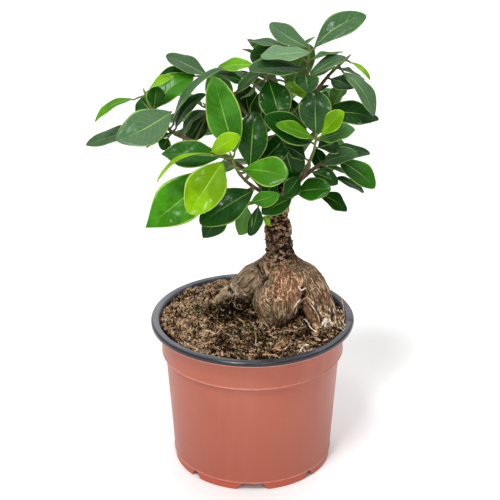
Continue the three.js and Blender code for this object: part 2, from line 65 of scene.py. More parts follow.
# Pot
POT_HEIGHT = 92.3
LIP_RADIUS = 60.3
LIP_DROP = 3
COLLAR_TOP_RADIUS = 54.9
COLLAR_FOOT_RADIUS = 53.9
RIDGE_LEVEL = 71.8
BODY_TOP_RADIUS = 52.0
BODY_FOOT_RADIUS = 47.9
FOOT_RADIUS = 47.7
FOOT_THICKNESS = 2.2
FOOT_HEIGHT = 5
WALL = 1.4
FLOOR_THICKNESS = 1.6
POT_SEGMENTS = 240
NOTCH_PAIRS = 4
# Slots with their widths at the foot and at the top
WIDE_NOTCH = (22, 12)
NARROW_NOTCH = (8, 3)
LIP_SPLIT = (0.4, 1.0)
DRAIN_RADIUS = 3.2
DRAIN_CIRCLE = 34
SPLIT_ANGLE = math.radians(82.7)

# Soil
SOIL_EDGE_LEVEL = 88.7
SOIL_DOME = 1.6
SOIL_RELIEF = 0.8
SOIL_EDGE_RISE = 1.6
SOIL_GAP = 0.45
SOIL_SEGMENTS = 300
SOIL_RINGS = 72

# The lining inside the lip, from where the collar ends
LINING_LEVELS = [POT_HEIGHT - LIP_DROP - 1.5, POT_HEIGHT - LIP_DROP, POT_HEIGHT - 0.9]
LINING_RADII = [COLLAR_TOP_RADIUS - WALL, COLLAR_TOP_RADIUS - WALL + 0.5, LIP_RADIUS - 4.8]

# Leaves and stems, as in the part's source
BLADE_FOLD = 0.22
WIDEST = 0.54
SHORTEST_STALK = 2.5
CURVE_STEPS = 60
STEM_FOOT_STEPS = 12
STEM_THICK = 1.35
STEM_THIN = 0.7
LEAN_STEPS = [0, 3, -3, 6, -6, 9, -9, 13, -13, 17, -17]
SEED = 20417
GOLDEN_ANGLE = math.radians(137.5)
REAR_LEAF_LENGTH = 29
REAR_LEAF_WIDTH = 16
REAR_LEAF_ARCH = 0.06
REAR_LEAF_STALK = 5
REAR_LEAF_SPREAD = 0.72
REAR_LEAF_LEAN = np.array([0, 0.35, 0])
REAR_LEAF_FACING = np.array([0, 0.5, 0.9])

# Width is in millimetres and turn in degrees. Arch and bend say how far the blade's middle lies up and aside,
# and widest where it is widest, as shares of its length. Point sharpens the tip. A bluish grey, partly wax
# and partly painted sheen, is mixed in by its own field.
# A leaf that stands alone has no imported solid.
LEAF_PARTS = "base tip width turn arch tone widest point bloom bend alone"
Leaf = namedtuple("Leaf", LEAF_PARTS, defaults=[WIDEST, 0, 0, 0, False])

# Leafy stems: the stem's path, then its leaves. A point of either is (picture x, picture y, nearness in mm).
# Tone runs from 0, old and dark, over 1, fresh green, to 2, young and lime.
SHOOTS = {
    "top": (
        [(292, 150, -4), (302, 112, 0), (307, 80, 4), (309, 52, 6)],
        [
            Leaf((311, 50, 6), (366, 15, -4), 15, 22, 0.04, 0.3, 0.6, bloom=0.3, bend=-0.08),
            Leaf((309, 48, 4), (270, 23, -8), 14, -40, 0.03, 0.2, bloom=0.35, bend=-0.08),
            Leaf((292, 49, -2), (248, 41, -12), 13, -72, 0.03, 0.2, bloom=0.2),
            Leaf((311, 52, 9), (261, 58, 24), 16, -58, 0.02, 0.5, bloom=0.8),
            Leaf((282, 53, -8), (250, 56, -20), 15, -20, 0.05, 0.2),
            Leaf((311, 59, 4), (342, 52, -8), 12, 78, 0.03, 0.5),
            Leaf((309, 76, 9), (346, 57, 4), 14, 60, 0.06, 0.1, bloom=0.3),
            Leaf((310, 79, 2), (334, 66, -12), 12, 60, 0.05, 0.6),
            Leaf((304, 69, 12), (249, 70, 30), 17, -55, 0.03, 0.1, bloom=0.1),
            Leaf((305, 76, 12), (308, 93, 32), 14, 10, 0.1, 0.1),
        ],
    ),
    "right_twig": (
        [(304, 110, -2), (318, 89, -8), (330, 74, -10), (345, 60, -10)],
        [
            Leaf((350, 62, -9), (370, 80, -3), 6, 60, 0.08, 1.7, bend=-0.05, alone=True),
            Leaf((343, 72, -6), (374, 116, 8), 16, 55, 0.2, 0.3, bloom=0.4, bend=0.13),
            Leaf((328, 79, -8), (354, 88, 0), 15, 45, 0.06, 0.2, bloom=0.15),
            Leaf((340, 69, -14), (364, 80, -22), 12, 80, 0.05, 0.2),
            Leaf((316, 116, -6), (379, 120, -4), 15, 22, 0.06, 0.1, point=0.5, bend=-0.07),
        ],
    ),
    "front_right": (
        [(281, 203, 1), (291, 191, 7), (302, 178, 11), (308, 165, 16), (314, 150, 22), (316, 139, 26)],
        [
            Leaf((316, 137, 26), (315, 90, 18), 19, 5, 0.04, 0.15, bloom=0.12),
            Leaf((320, 137, 28), (344, 112, 38), 11, 30, 0.06, 1.7, 0.66),
            Leaf((318, 142, 26), (355, 130, 32), 13, 42, 0.05, 0.4, bloom=0.15),
            Leaf((313, 138, 28), (276, 125, 42), 10, -40, 0.05, 1.2),
            Leaf((312, 145, 25), (264, 118, 38), 18, -30, 0.06, 0.1),
            Leaf((318, 148, 22), (338, 144, 12), 14, 30, 0.05, 0.1),
            Leaf((312, 159, 16), (284, 145, 20), 14, -50, 0.05, 0.0),
            Leaf((300, 176, 14), (284, 197, 22), 11, 20, 0.05, 0.2),
            Leaf((296, 192, 14), (331, 189, 22), 15, 25, 0.06, 0.4),
            Leaf((292, 198, 16), (262, 214, 26), 13, -25, 0.06, 0.4),
        ],
    ),
    "right": (
        [(301, 179, 9), (312, 170, 6), (322, 163, 4), (331, 158, 2)],
        [
            Leaf((320, 167, 6), (358, 156, 18), 14, 48, 0.1, 0.2, bloom=0.3),
            Leaf((326, 156, 0), (370, 153, -10), 13, 50, 0.08, 0.1),
            Leaf((338, 160, 2), (375, 188, 12), 15, 30, 0.1, 0.4),
            Leaf((326, 167, 0), (352, 176, -6), 10, 72, 0.05, 0.5),
            Leaf((312, 172, 9), (338, 184, 16), 11, 28, 0.08, 0.2),
            Leaf((325, 170, -4), (315, 149, -9), 10, 20, 0.05, 0.1, alone=True),
        ],
    ),
    "low_right": (
        [(290, 193, 5), (300, 190, 2), (312, 187, 0), (324, 182, -2)],
        [
            Leaf((318, 193, 4), (347, 211, 6), 12, 40, 0.08, 0.1),
            Leaf((334, 178, 0), (364, 192, -6), 11, 62, 0.06, 0.2),
        ],
    ),
    "low_left": (
        [(277, 207, 2), (268, 203, 9), (258, 202, 14), (250, 204, 18)],
        [
            Leaf((251, 202, 24), (279, 194, 32), 10, -20, 0.06, 0.9),
            Leaf((247, 206, 16), (239, 235, 14), 12, 150, 0.05, 0.8),
            Leaf((259, 206, 14), (250, 236, 16), 10, 30, 0.05, 0.1),
        ],
    ),
    "front_left": (
        [(277, 200, 2), (268, 195, 8), (257, 189, 14), (246, 181, 21), (237, 170, 27), (232, 158, 30)],
        [
            Leaf((275, 182, 8), (264, 196, 16), 13, 10, 0.05, 0.1),
            Leaf((235, 153, 30), (214, 77, 20), 20, 12, 0.03, 0.75, 0.5),
            Leaf((211, 152, 36), (240, 136, 46), 11, 15, 0.05, 2.0),
            Leaf((214, 155, 36), (157, 182, 50), 9, -76, 0.18, 1.9),
            Leaf((223, 161, 36), (189, 214, 54), 22, 0, 0.06, 1.9),
            Leaf((213, 172, 30), (145, 228, 44), 26, -10, 0.08, 0.9, 0.5, 1, bend=-0.03),
            Leaf((221, 157, 28), (161, 154, 32), 17, -20, 0.05, 0.4, 0.54, 0.8),
            Leaf((254, 190, 22), (200, 224, 34), 20, -15, 0.06, 0.3),
            Leaf((226, 207, 14), (203, 238, 18), 14, 20, 0.05, 0.2, 0.54, 0.5),
            Leaf((234, 171, 28), (288, 176, 46), 18, 18, 0.1, 1.0, 0.68),
            Leaf((250, 168, 26), (254, 111, 16), 18, 0, 0.05, 0.2),
            Leaf((256, 170, 20), (287, 137, 8), 18, 20, 0.05, 0.1),
            Leaf((282, 139, 12), (294, 179, 20), 19, 0, 0.05, 0.1),
        ],
    ),
    "far_left": (
        [
            (270, 196, -2), (245, 170, 0), (215, 152, 2), (190, 140, 4),
            (172, 132, 4), (160, 118, 4), (150, 106, 4), (146, 96, 4),
        ],
        [
            Leaf((148, 91, 5), (174, 77, 10), 9, 62, 0.1, 1.6),
            Leaf((135, 99, 7), (95, 122, 12), 9, -58, 0.15, 1.1),
            Leaf((171, 112, 8), (117, 141, 24), 22, -22, 0.05, 0.35, 0.5, bloom=0.5, bend=-0.06),
            Leaf((146, 129, 4), (86, 145, 4), 14, -50, 0.03, 0.1, bloom=0.3),
            Leaf((154, 110, 4), (156, 86, 2), 12, -20, 0.05, 0.4),
            Leaf((152, 112, 0), (140, 99, -8), 14, 0, 0.05, 0.2),
            Leaf((155, 109, 0), (193, 76, -12), 17, 30, 0.05, 0.7, bend=-0.1),
            Leaf((171, 130, 6), (223, 68, 8), 16, 75, 0.12, 0.2, bloom=0.3),
            Leaf((174, 130, 2), (206, 94, 2), 15, 60, 0.12, 0.2),
            Leaf((184, 139, 0), (207, 111, -2), 13, 65, 0.2, 0.3),
            Leaf((205, 114, -10), (188, 140, -6), 14, 20, 0.05, 0.0),
            Leaf((168, 138, 6), (162, 150, 9), 8, 0, 0.05, 0.3),
            Leaf((178, 131, 8), (146, 148, 14), 10, -80, 0.03, 0.2),
            Leaf((170, 134, 8), (155, 136, 14), 7, -50, 0.05, 0.2),
        ],
    ),
    "top_left": (
        [(279, 185, -6), (262, 140, -8), (240, 105, -8), (222, 85, -10), (212, 78, -10)],
        [
            Leaf((208, 76, -10), (166, 55, -18), 13, -42, 0.02, 0.1, bloom=0.3),
            Leaf((196, 76, -16), (157, 79, -22), 13, -30, 0.08, 0.2),
            Leaf((246, 83, -4), (214, 74, 2), 12, -58, 0.05, 0.3),
            Leaf((250, 79, -10), (223, 72, -18), 12, -78, 0.05, 0.1),
            Leaf((252, 124, -12), (244, 84, -20), 16, 15, 0.06, 0.0),
            Leaf((262, 132, -8), (263, 92, -14), 15, -20, 0.06, 0.0),
        ],
    ),
    "top_centre": (
        [(284, 170, -4), (280, 130, 2), (276, 100, 6), (271, 78, 9)],
        [
            Leaf((254, 65, 4), (218, 67, -2), 11, -48, 0.04, 1.3),
            Leaf((281, 70, 14), (238, 92, 28), 13, -66, 0.14, 0.1),
            Leaf((268, 79, 16), (281, 120, 28), 19, 5, 0.06, 0.2),
            Leaf((254, 86, 14), (241, 98, 22), 10, 100, 0.1, 0.1),
            Leaf((285, 82, 12), (304, 98, 22), 9, 40, 0.05, 1.8),
        ],
    ),
}

# The young bud at the trunk's left, and the stem whose piece holds it
BUD_STEM = "low_left"
BUD_STALK = [(257, 211, 14), (259, 214, 13), (262, 217, 12), (265, 219, 11)]
BUD = [(264, 217, 11), (267, 220, 10), (269, 225, 9)]

# Stems at the back: their path and how many leaves they carry, in a spiral from the tip
REAR_SHOOTS = {
    "back_top": ([(291, 156, -5), (288, 122, -22), (287, 92, -32), (284, 68, -34)], 11),
    "back_left": ([(281, 186, -4), (258, 158, -20), (232, 132, -32), (208, 108, -36)], 11),
    "back_right": ([(289, 162, -5), (306, 142, -20), (318, 128, -30), (331, 115, -34)], 10),
    "back_low": ([(280, 190, -1), (284, 180, -18), (292, 170, -34), (298, 158, -44)], 7),
}


def sight(x, y):
    """The line of sight through a place of the picture."""
    ray = AHEAD + ABOVE * (PICTURE_MIDDLE - y) / PICTURE_SCALE
    ray[0] += (x - PICTURE_AXIS) / PICTURE_SCALE
    return ray


def seen(place):
    """The point seen at (x, y) of the picture, some millimetres in front of the trunk."""
    x, y, near = place
    ray = sight(x, y)
    return EYE + ray * (TRUNK_DEPTH - near - EYE[1]) / ray[1]


def unit(vector):
    return vector / np.linalg.norm(vector)


def smooth_step(values, low, high):
    share = np.clip((np.asarray(values, float) - low) / (high - low), 0, 1)
    return share * share * (3 - 2 * share)


def curve_point(points, place):
    """A point of the centripetal curve through the points, at a share of its spans."""
    spans = len(points) - 1
    index = min(int(place * spans), spans - 1)
    w = place * spans - index
    x1, x2 = points[index], points[index + 1]
    x0 = points[index - 1] if index > 0 else 2 * points[0] - points[1]
    x3 = points[index + 2] if index + 2 <= spans else 2 * points[-1] - points[-2]
    d0, d1, d2 = (np.linalg.norm(b - a) ** 0.5 for a, b in ((x0, x1), (x1, x2), (x2, x3)))
    t1 = d1 * ((x1 - x0) / d0 - (x2 - x0) / (d0 + d1) + (x2 - x1) / d1)
    t2 = d1 * ((x2 - x1) / d1 - (x3 - x1) / (d1 + d2) + (x3 - x2) / d2)
    return x1 + t1 * w + (3 * (x2 - x1) - 2 * t1 - t2) * w**2 + (2 * (x1 - x2) + t1 + t2) * w**3


def curve_points(path, steps):
    points = [seen(place) for place in path]
    return np.array([curve_point(points, k / steps) for k in range(steps + 1)])


def lehmer(state):
    """A seeded stream of numbers from 0 to 1, the same one as in the part's source."""
    while True:
        state = state * 16807 % 2147483647
        yield state / 2147483647


def drawn(draw, low, high):
    """The next random number of a stream, between two ends."""
    return low + (high - low) * next(draw)


def mixed(share, first, second):
    return first * (1 - share) + second * share


# Leaves of the stems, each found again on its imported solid
def front_leaves(path, rows):
    line = curve_points(path, CURVE_STEPS)[STEM_FOOT_STEPS:]
    for row in rows:
        base, tip = seen(row.base), seen(row.tip)
        facing = unit(EYE - (base + tip) / 2)
        root = line[np.argmin(np.linalg.norm(line - base, axis=1))]
        if np.linalg.norm(root - base) < SHORTEST_STALK:
            base = root + SHORTEST_STALK * unit(tip - root)
        yield dict(row._asdict(), base=base, tip=tip, root=root, facing=facing, pull=unit(EYE - tip))


def rear_leaves(path, count, draw):
    line = curve_points(path, CURVE_STEPS)
    for k in range(count):
        place = 1 - REAR_LEAF_SPREAD * k / count
        index = int(place * (CURVE_STEPS - 1) + 0.5)
        along = unit(line[index + 1] - line[index])
        aside = unit(np.cross([0, 0, 1], along))
        over = np.cross(along, aside)
        angle = k * GOLDEN_ANGLE
        heading = along * (0.75 - 0.5 * (1 - place)) + aside * math.cos(angle) + over * math.sin(angle)
        heading = unit(heading + REAR_LEAF_LEAN)
        size = drawn(draw, 0.8, 1.2)
        base = line[index] + REAR_LEAF_STALK * heading
        tip = base + REAR_LEAF_LENGTH * size * heading
        tone = 0.15 + 0.5 * (k == 0) + 0.25 * (k % 3 == 1)
        leaf = Leaf(base, tip, REAR_LEAF_WIDTH * size, drawn(draw, -15, 15), REAR_LEAF_ARCH, tone)
        yield dict(leaf._asdict(), root=line[index], facing=REAR_LEAF_FACING, pull=unit(REAR_LEAF_FACING))


def settled(leaf, corners):
    """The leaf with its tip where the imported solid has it."""
    tips = [leaf["tip"] + lean * leaf["pull"] for lean in LEAN_STEPS]
    misses = [np.linalg.norm(corners - tip, axis=1).min() for tip in tips]
    return dict(leaf, tip=tips[np.argmin(misses)])


# Meshes
def mesh_arrays(mesh):
    """The points of a mesh on the plant's own axes, and their normals."""
    points = np.zeros(3 * len(mesh.vertices), np.float32)
    normals = np.zeros(3 * len(mesh.vertices), np.float32)
    mesh.vertices.foreach_get("co", points)
    mesh.vertex_normals.foreach_get("vector", normals)
    return points.reshape(-1, 3) / MM - POT_AXIS, normals.reshape(-1, 3).astype(float)


def set_points(mesh, points):
    mesh.vertices.foreach_set("co", ((points + POT_AXIS) * MM).astype(np.float32).ravel())
    mesh.update()


def set_values(mesh, name, values):
    """Gives each point of a mesh its number or its vector, under a name that materials read."""
    values = np.asarray(values, np.float32)
    kind, key = ("FLOAT", "value") if values.ndim == 1 else ("FLOAT_VECTOR", "vector")
    mesh.attributes.new(name, kind, "POINT").data.foreach_set(key, values.ravel())


class Body:
    """Gathers the points and faces of a piece, with a few numbers for each point."""

    def __init__(self, *numbers):
        self.points = []
        self.faces = []
        self.kinds = []
        self.numbers = {name: [] for name in numbers}
        self.count = 0

    def add(self, points, faces, kind=0, **numbers):
        self.points.append(np.asarray(points, float))
        self.faces += [tuple(self.count + i for i in face) for face in faces]
        self.kinds += [kind] * len(faces)
        for name, values in self.numbers.items():
            given = np.asarray(numbers.get(name, 0), float)
            values.append(np.broadcast_to(given, (len(points),)))
        self.count += len(points)

    def mesh(self, name, *materials):
        points = (np.concatenate(self.points) + POT_AXIS) * MM
        mesh = bpy.data.meshes.new(name)
        mesh.from_pydata(points.tolist(), [], self.faces)
        for material in materials:
            mesh.materials.append(material)
        mesh.polygons.foreach_set("material_index", self.kinds)
        mesh.polygons.foreach_set("use_smooth", [True] * len(self.faces))
        for key, values in self.numbers.items():
            set_values(mesh, key, np.concatenate(values))
        mesh.update()
        return mesh


def placed(name, data):
    piece = bpy.data.objects.new(name, data)
    bpy.context.scene.collection.objects.link(piece)
    return piece


def finished(piece):
    """The piece with its modifiers turned into plain faces."""
    graph = bpy.context.evaluated_depsgraph_get()
    graph.update()
    mesh = bpy.data.meshes.new_from_object(
        piece.evaluated_get(graph), preserve_all_data_layers=True, depsgraph=graph
    )
    piece.modifiers.clear()
    old = piece.data
    piece.data = mesh
    bpy.data.meshes.remove(old)
    return piece


def ring_faces(rings, sides):
    """Faces between rings of points, with the first and last ring closed on a pole each."""
    first, last = rings * sides, rings * sides + 1
    faces = [
        (k * sides + i, k * sides + (i + 1) % sides, (k + 1) * sides + (i + 1) % sides, (k + 1) * sides + i)
        for k in range(rings - 1)
        for i in range(sides)
    ]
    top = (rings - 1) * sides
    faces += [(first, (i + 1) % sides, i) for i in range(sides)]
    faces += [(last, top + i, top + (i + 1) % sides) for i in range(sides)]
    return faces


def ring(radius, level, segments):
    """A ring of points about the pot's axis. Its level may change from point to point."""
    angles = 2 * np.pi * np.arange(segments) / segments
    return np.stack([radius * np.cos(angles), radius * np.sin(angles), np.broadcast_to(level, segments)], 1)


CAP = 0.4
FIRST_UP = [0.3, 0.2, 1.0]


def swept(line, radii, sides, uneven=None):
    """A round bar along a line, with low caps: points, faces, and how far along each point is.
    uneven(share, angle) widens it."""
    count = len(line)
    heading = np.gradient(line, axis=0)
    heading /= np.linalg.norm(heading, axis=1)[:, None]
    across = np.cross(heading[0], FIRST_UP)
    points = []
    for k in range(count):
        across = unit(across - heading[k] * across.dot(heading[k]))
        out = np.cross(heading[k], across)
        for i in range(sides):
            angle = 2 * math.pi * i / sides
            radius = radii[k] * (uneven(k / (count - 1), angle) if uneven else 1)
            points.append(line[k] + radius * (math.cos(angle) * across + math.sin(angle) * out))
    points += [line[0] - CAP * radii[0] * heading[0], line[-1] + CAP * radii[-1] * heading[-1]]
    along = np.concatenate([np.repeat(np.linspace(0, 1, count), sides), [0, 1]])
    return np.array(points), ring_faces(count, sides), along


# Node trees: one small helper wires up materials and geometry alike
class Board:
    def __init__(self, tree):
        self.tree = tree

    def add(self, kind, inputs=None, **settings):
        node = self.tree.nodes.new(kind)
        for key, value in settings.items():
            setattr(node, key, value)
        for key, value in (inputs or {}).items():
            self.feed(node.inputs[key], value)
        return node

    def feed(self, socket, value):
        """Links a socket or sets a plain value, where a colour is red, green and blue."""
        if isinstance(value, bpy.types.NodeSocket):
            self.tree.links.new(value, socket)
        else:
            socket.default_value = (*value, 1.0) if socket.type == "RGBA" else value

    def math(self, operation, *values):
        return self.add("ShaderNodeMath", dict(enumerate(values)), operation=operation).outputs[0]

    def times(self, value, share):
        return self.math("MULTIPLY", value, share)

    def minus(self, value, other):
        return self.math("SUBTRACT", value, other)

    def plus(self, total, *others):
        for other in others:
            total = self.math("ADD", total, other)
        return total

    def blend(self, *pairs):
        """The sum of some values, each times its own share."""
        return self.plus(*[self.times(value, share) for value, share in pairs])

    def span(self, value, low, high, to_low=0.0, to_high=1.0):
        """The value carried smoothly from one range to another."""
        inputs = dict(enumerate((value, low, high, to_low, to_high)))
        return self.add("ShaderNodeMapRange", inputs, interpolation_type="SMOOTHSTEP").outputs[0]

    def noise(self, scale, detail, roughness=0.55, stretch=(1, 1, 1), place=None, distortion=0.0):
        """Noise with about scale bumps in a metre of the piece, or in a unit of another place."""
        inputs = {"Scale": scale, "Detail": detail, "Roughness": roughness, "Distortion": distortion}
        inputs["Vector"] = self.object_place(stretch) if place is None else place
        return self.add("ShaderNodeTexNoise", inputs).outputs[0]

    def mix(self, share, first, second, blend="MIX"):
        """One colour over another. The node's colours are inputs 6 and 7 and output 2."""
        node = self.add("ShaderNodeMix", data_type="RGBA", blend_type=blend)
        for index, value in ((0, share), (6, first), (7, second)):
            self.feed(node.inputs[index], value)
        return node.outputs[2]

    def ramp(self, share, stops):
        node = self.add("ShaderNodeValToRGB", {0: share})
        elements = node.color_ramp.elements
        while len(elements) < len(stops):
            elements.new(0.5)
        for element, (place, color) in zip(elements, stops):
            element.position = place
            element.color = (*color, 1.0)
        return node.outputs[0]

    def attribute(self, name, output="Fac"):
        return self.add("ShaderNodeAttribute", attribute_name=name, attribute_type="GEOMETRY").outputs[output]

    def object_place(self, stretch=(1, 1, 1)):
        place = self.add("ShaderNodeTexCoord").outputs["Object"]
        return self.add("ShaderNodeMapping", {"Vector": place, "Scale": stretch}).outputs[0]

    def parts(self, vector):
        """A vector's x, y and z."""
        return self.add("ShaderNodeSeparateXYZ", {0: vector}).outputs

    def bump(self, height, distance, strength=1.0):
        return self.add(
            "ShaderNodeBump", {"Height": height, "Distance": distance, "Strength": strength}
        ).outputs[0]


def surface(name, build, **constants):
    """A material: build(board) gives its linked inputs, constants are set on the shader itself."""
    material = bpy.data.materials.new(name)
    material.use_nodes = True
    board = Board(material.node_tree)
    shader = material.node_tree.nodes["Principled BSDF"]
    for key, value in constants.items():
        board.feed(shader.inputs[key.replace("_", " ")], value)
    for key, value in build(board).items():
        board.feed(shader.inputs[key], value)
    return material


# Leaf colours. The tones run from an old blade over a fresh one to a young one.
LEAF_TONES = [
    (0.0, (0.005, 0.042, 0.004)),
    (0.15, (0.011, 0.085, 0.005)),
    (0.45, (0.055, 0.26, 0.005)),
    (0.75, (0.16, 0.40, 0.003)),
    (1.0, (0.23, 0.46, 0.002)),
]
LEAF_DUST = (0.22, 0.30, 0.18)
LEAF_DEEP = (0.004, 0.028, 0.002)
# Painted sheen: bluish greys, partly wax and partly the sky's reflection painted on
LEAF_SHEEN_THIN = (0.10, 0.20, 0.10)
LEAF_SHEEN_THICK = (0.25, 0.37, 0.24)
LEAF_VEIN = (0.36, 0.55, 0.12)
LEAF_RIB = (0.45, 0.70, 0.14)
LEAF_MARGIN = (0.62, 0.88, 0.18)
LEAF_UNDERSIDE = (0.11, 0.24, 0.05)
VEIN_PAIRS = 9
VEIN_SLANT = 2.1
VEIN_BEND = 2.2


def side_veins(board, along, across, cloud):
    """Thin feathered lines that run from the midrib towards the tip, bent a little by the cloud."""
    steps = board.minus(board.times(along, VEIN_PAIRS), board.times(across, VEIN_SLANT))
    bent = board.times(board.minus(cloud, 0.5), VEIN_BEND)
    return board.span(board.math("PINGPONG", board.plus(steps, bent), 0.5), 0.0, 0.09, 1.0, 0.0)


def leaf_green(board):
    """Thick waxy blades: a pale midrib and margin, feathered side veins, a duller and paler underside."""
    along, across, _ = board.parts(board.add("ShaderNodeUVMap").outputs[0])
    tone = board.attribute("tone")
    under = board.attribute("underside")
    speck = board.attribute("speck")
    bloom = board.attribute("bloom")
    cloud = board.noise(60, 3, 0.5)
    swell = board.noise(95, 1, 0.4)
    mottle = board.noise(260, 4, 0.6)
    spots = board.noise(900, 5, 0.6)
    sheet = board.ramp(board.times(tone, 0.5), LEAF_TONES)
    dusty = board.mix(0.35, sheet, LEAF_DUST)
    deep = board.mix(0.55, sheet, LEAF_DEEP)
    sheet = board.mix(board.span(speck, 0.6, 1.0, 0.0, 0.15), sheet, dusty)
    sheet = board.mix(board.span(cloud, 0.40, 0.60, 0.0, 0.75), sheet, deep)
    sheet = board.mix(board.span(mottle, 0.45, 0.7, 0.0, 0.25), sheet, deep)
    # Painted sheen: a bluish grey, partly wax and partly the sky's reflection painted on, for the leaves that
    # have it
    bluish_sheen = board.mix(mottle, LEAF_SHEEN_THIN, LEAF_SHEEN_THICK)
    sheet = board.mix(board.times(bloom, 0.8), sheet, bluish_sheen)
    veins = side_veins(board, along, across, cloud)
    vein_share = board.times(veins, board.span(across, 0.45, 0.9, 0.16, 0.0))
    vein_share = board.times(vein_share, board.plus(board.times(bloom, 2.5), 1.0))
    sheet = board.mix(vein_share, sheet, board.mix(0.4, sheet, LEAF_VEIN))
    rib_width = board.span(along, 0.0, 1.0, 0.05, 0.01)
    rib = board.span(board.math("DIVIDE", across, rib_width), 0.5, 1.3, 1.0, 0.0)
    rib = board.times(rib, board.span(along, 0.5, 1.0, 0.9, 0.15))
    sheet = board.mix(rib, sheet, board.mix(0.5, sheet, LEAF_RIB))
    margin = board.mix(board.span(tone, 0.0, 1.0, 0.35, 0.6), sheet, LEAF_MARGIN)
    sheet = board.mix(board.span(across, 0.90, 0.95), sheet, margin)
    below = board.mix(0.45, sheet, LEAF_UNDERSIDE)
    relief = board.blend((veins, -0.15), (cloud, 6.0), (mottle, 1.7), (spots, 0.18))
    gloss = board.plus(board.span(spots, 0.3, 0.8, 0.28, 0.4), board.times(speck, 0.1))
    return {
        "Base Color": board.mix(under, sheet, below),
        "Roughness": board.plus(gloss, board.times(under, 0.25)),
        "Normal": board.bump(relief, 0.0003, 0.8),
        "Coat Normal": board.bump(board.blend((veins, -0.5), (swell, 9.0)), 0.0003, 0.5),
    }


# Twig colours, each from the dark to the light of its grain
YOUNG_WOOD = (0.07, 0.14, 0.015), (0.19, 0.27, 0.04)
OLD_WOOD = (0.03, 0.017, 0.009), (0.20, 0.115, 0.06)


def twig_bark(board):
    """Olive young wood that turns grey-brown towards the trunk."""
    age = board.attribute("age")
    grain = board.noise(900, 4, stretch=(1, 1, 0.4))
    young = board.mix(grain, *YOUNG_WOOD)
    old = board.mix(grain, *OLD_WOOD)
    return {
        "Base Color": board.mix(age, young, old),
        "Roughness": board.span(age, 0.0, 1.0, 0.45, 0.85),
        "Normal": board.bump(grain, 0.0004, 0.8),
    }


# Root and trunk colours
ROOT_SKIN = [
    (0.36, (0.070, 0.036, 0.017)),
    (0.45, (0.24, 0.138, 0.070)),
    (0.55, (0.48, 0.305, 0.170)),
    (0.65, (0.98, 0.71, 0.46)),
]
ROSY_SKIN = [
    (0.37, (0.13, 0.045, 0.020)),
    (0.50, (0.47, 0.210, 0.105)),
    (0.63, (1.0, 0.60, 0.38)),
]
PEELED_WOOD = [
    (0.40, (0.05, 0.025, 0.012)),
    (0.49, (0.42, 0.24, 0.13)),
    (0.57, (0.92, 0.78, 0.60)),
]
TRUNK_CRUST = [
    (0.43, (0.005, 0.003, 0.002)),
    (0.48, (0.085, 0.035, 0.015)),
    (0.52, (0.44, 0.19, 0.080)),
    (0.57, (1.0, 0.66, 0.40)),
]
ROOT_GRIME = (0.06, 0.050, 0.025)
ROOT_LIT = (0.86, 0.64, 0.42)
ROOT_WRINKLE = (0.035, 0.019, 0.010)
# Pale flecks, partly specks of the skin and partly painted glints
ROOT_FLECK_GLINT = (0.92, 0.74, 0.52)
ROOT_PIT = (0.020, 0.011, 0.006)
# Painted shade for hollows and crevices
ROOT_PAINTED_SHADE = (0.010, 0.006, 0.004)
TRUNK_DULL = (0.070, 0.042, 0.044)
TRUNK_CRACK = (0.006, 0.003, 0.002)
WRINKLE_WIDTH = 0.024


def wrinkle_lines(board, pattern, level, strength):
    """Thin lines where the pattern crosses a level."""
    off = board.math("ABSOLUTE", board.minus(pattern, level))
    return board.span(off, 0.0, WRINKLE_WIDTH, strength, 0.0)


def lobe_skin(board, lines, fine_lines, wrinkles, blotch, grit, relief):
    """The swollen roots' skin: fine lines of tan and brown, rosy or grimy in places, painted lighter on the
    left lobe's lit side and painted darker where the relief is low.
    """
    # Painted shade: where the relief is low the skin is drawn darker
    tangle = board.blend(
        (lines, 0.5), (fine_lines, 0.5), (board.minus(relief, 0.5), 0.18), (board.minus(grit, 0.5), 0.6)
    )
    skin = board.ramp(tangle, ROOT_SKIN)
    rosy = board.ramp(tangle, ROSY_SKIN)
    skin = board.mix(board.times(board.attribute("rosy"), 0.85), skin, rosy)
    skin = board.mix(board.span(blotch, 0.52, 0.62, 0.0, 0.4), skin, rosy)
    skin = board.mix(board.span(blotch, 0.32, 0.42, 0.4, 0.0), skin, board.mix(0.5, skin, ROOT_GRIME))
    # Painted light: the lit side of the left lobe, where the pale value is high, is painted a light tan
    lit = board.mix(board.span(lines, 0.38, 0.54), skin, ROOT_LIT)
    skin = board.mix(board.times(board.attribute("pale"), 0.7), skin, lit)
    skin = board.mix(wrinkles, skin, ROOT_WRINKLE)
    # Pale flecks, partly specks of the skin and partly painted glints
    skin = board.mix(board.span(grit, 0.62, 0.70, 0.0, 0.8), skin, ROOT_FLECK_GLINT)
    return board.mix(board.span(grit, 0.40, 0.32, 0.0, 0.5), skin, ROOT_PIT)


def trunk_crust(board, broken, blotch):
    """The trunk's crust: tan flakes between black-brown cracks, dull in places."""
    crust = board.ramp(broken, TRUNK_CRUST)
    dull = board.mix(0.45, crust, TRUNK_DULL)
    crust = board.mix(board.span(blotch, 0.46, 0.58), crust, dull)
    return board.mix(board.attribute("cracked"), crust, TRUNK_CRACK)


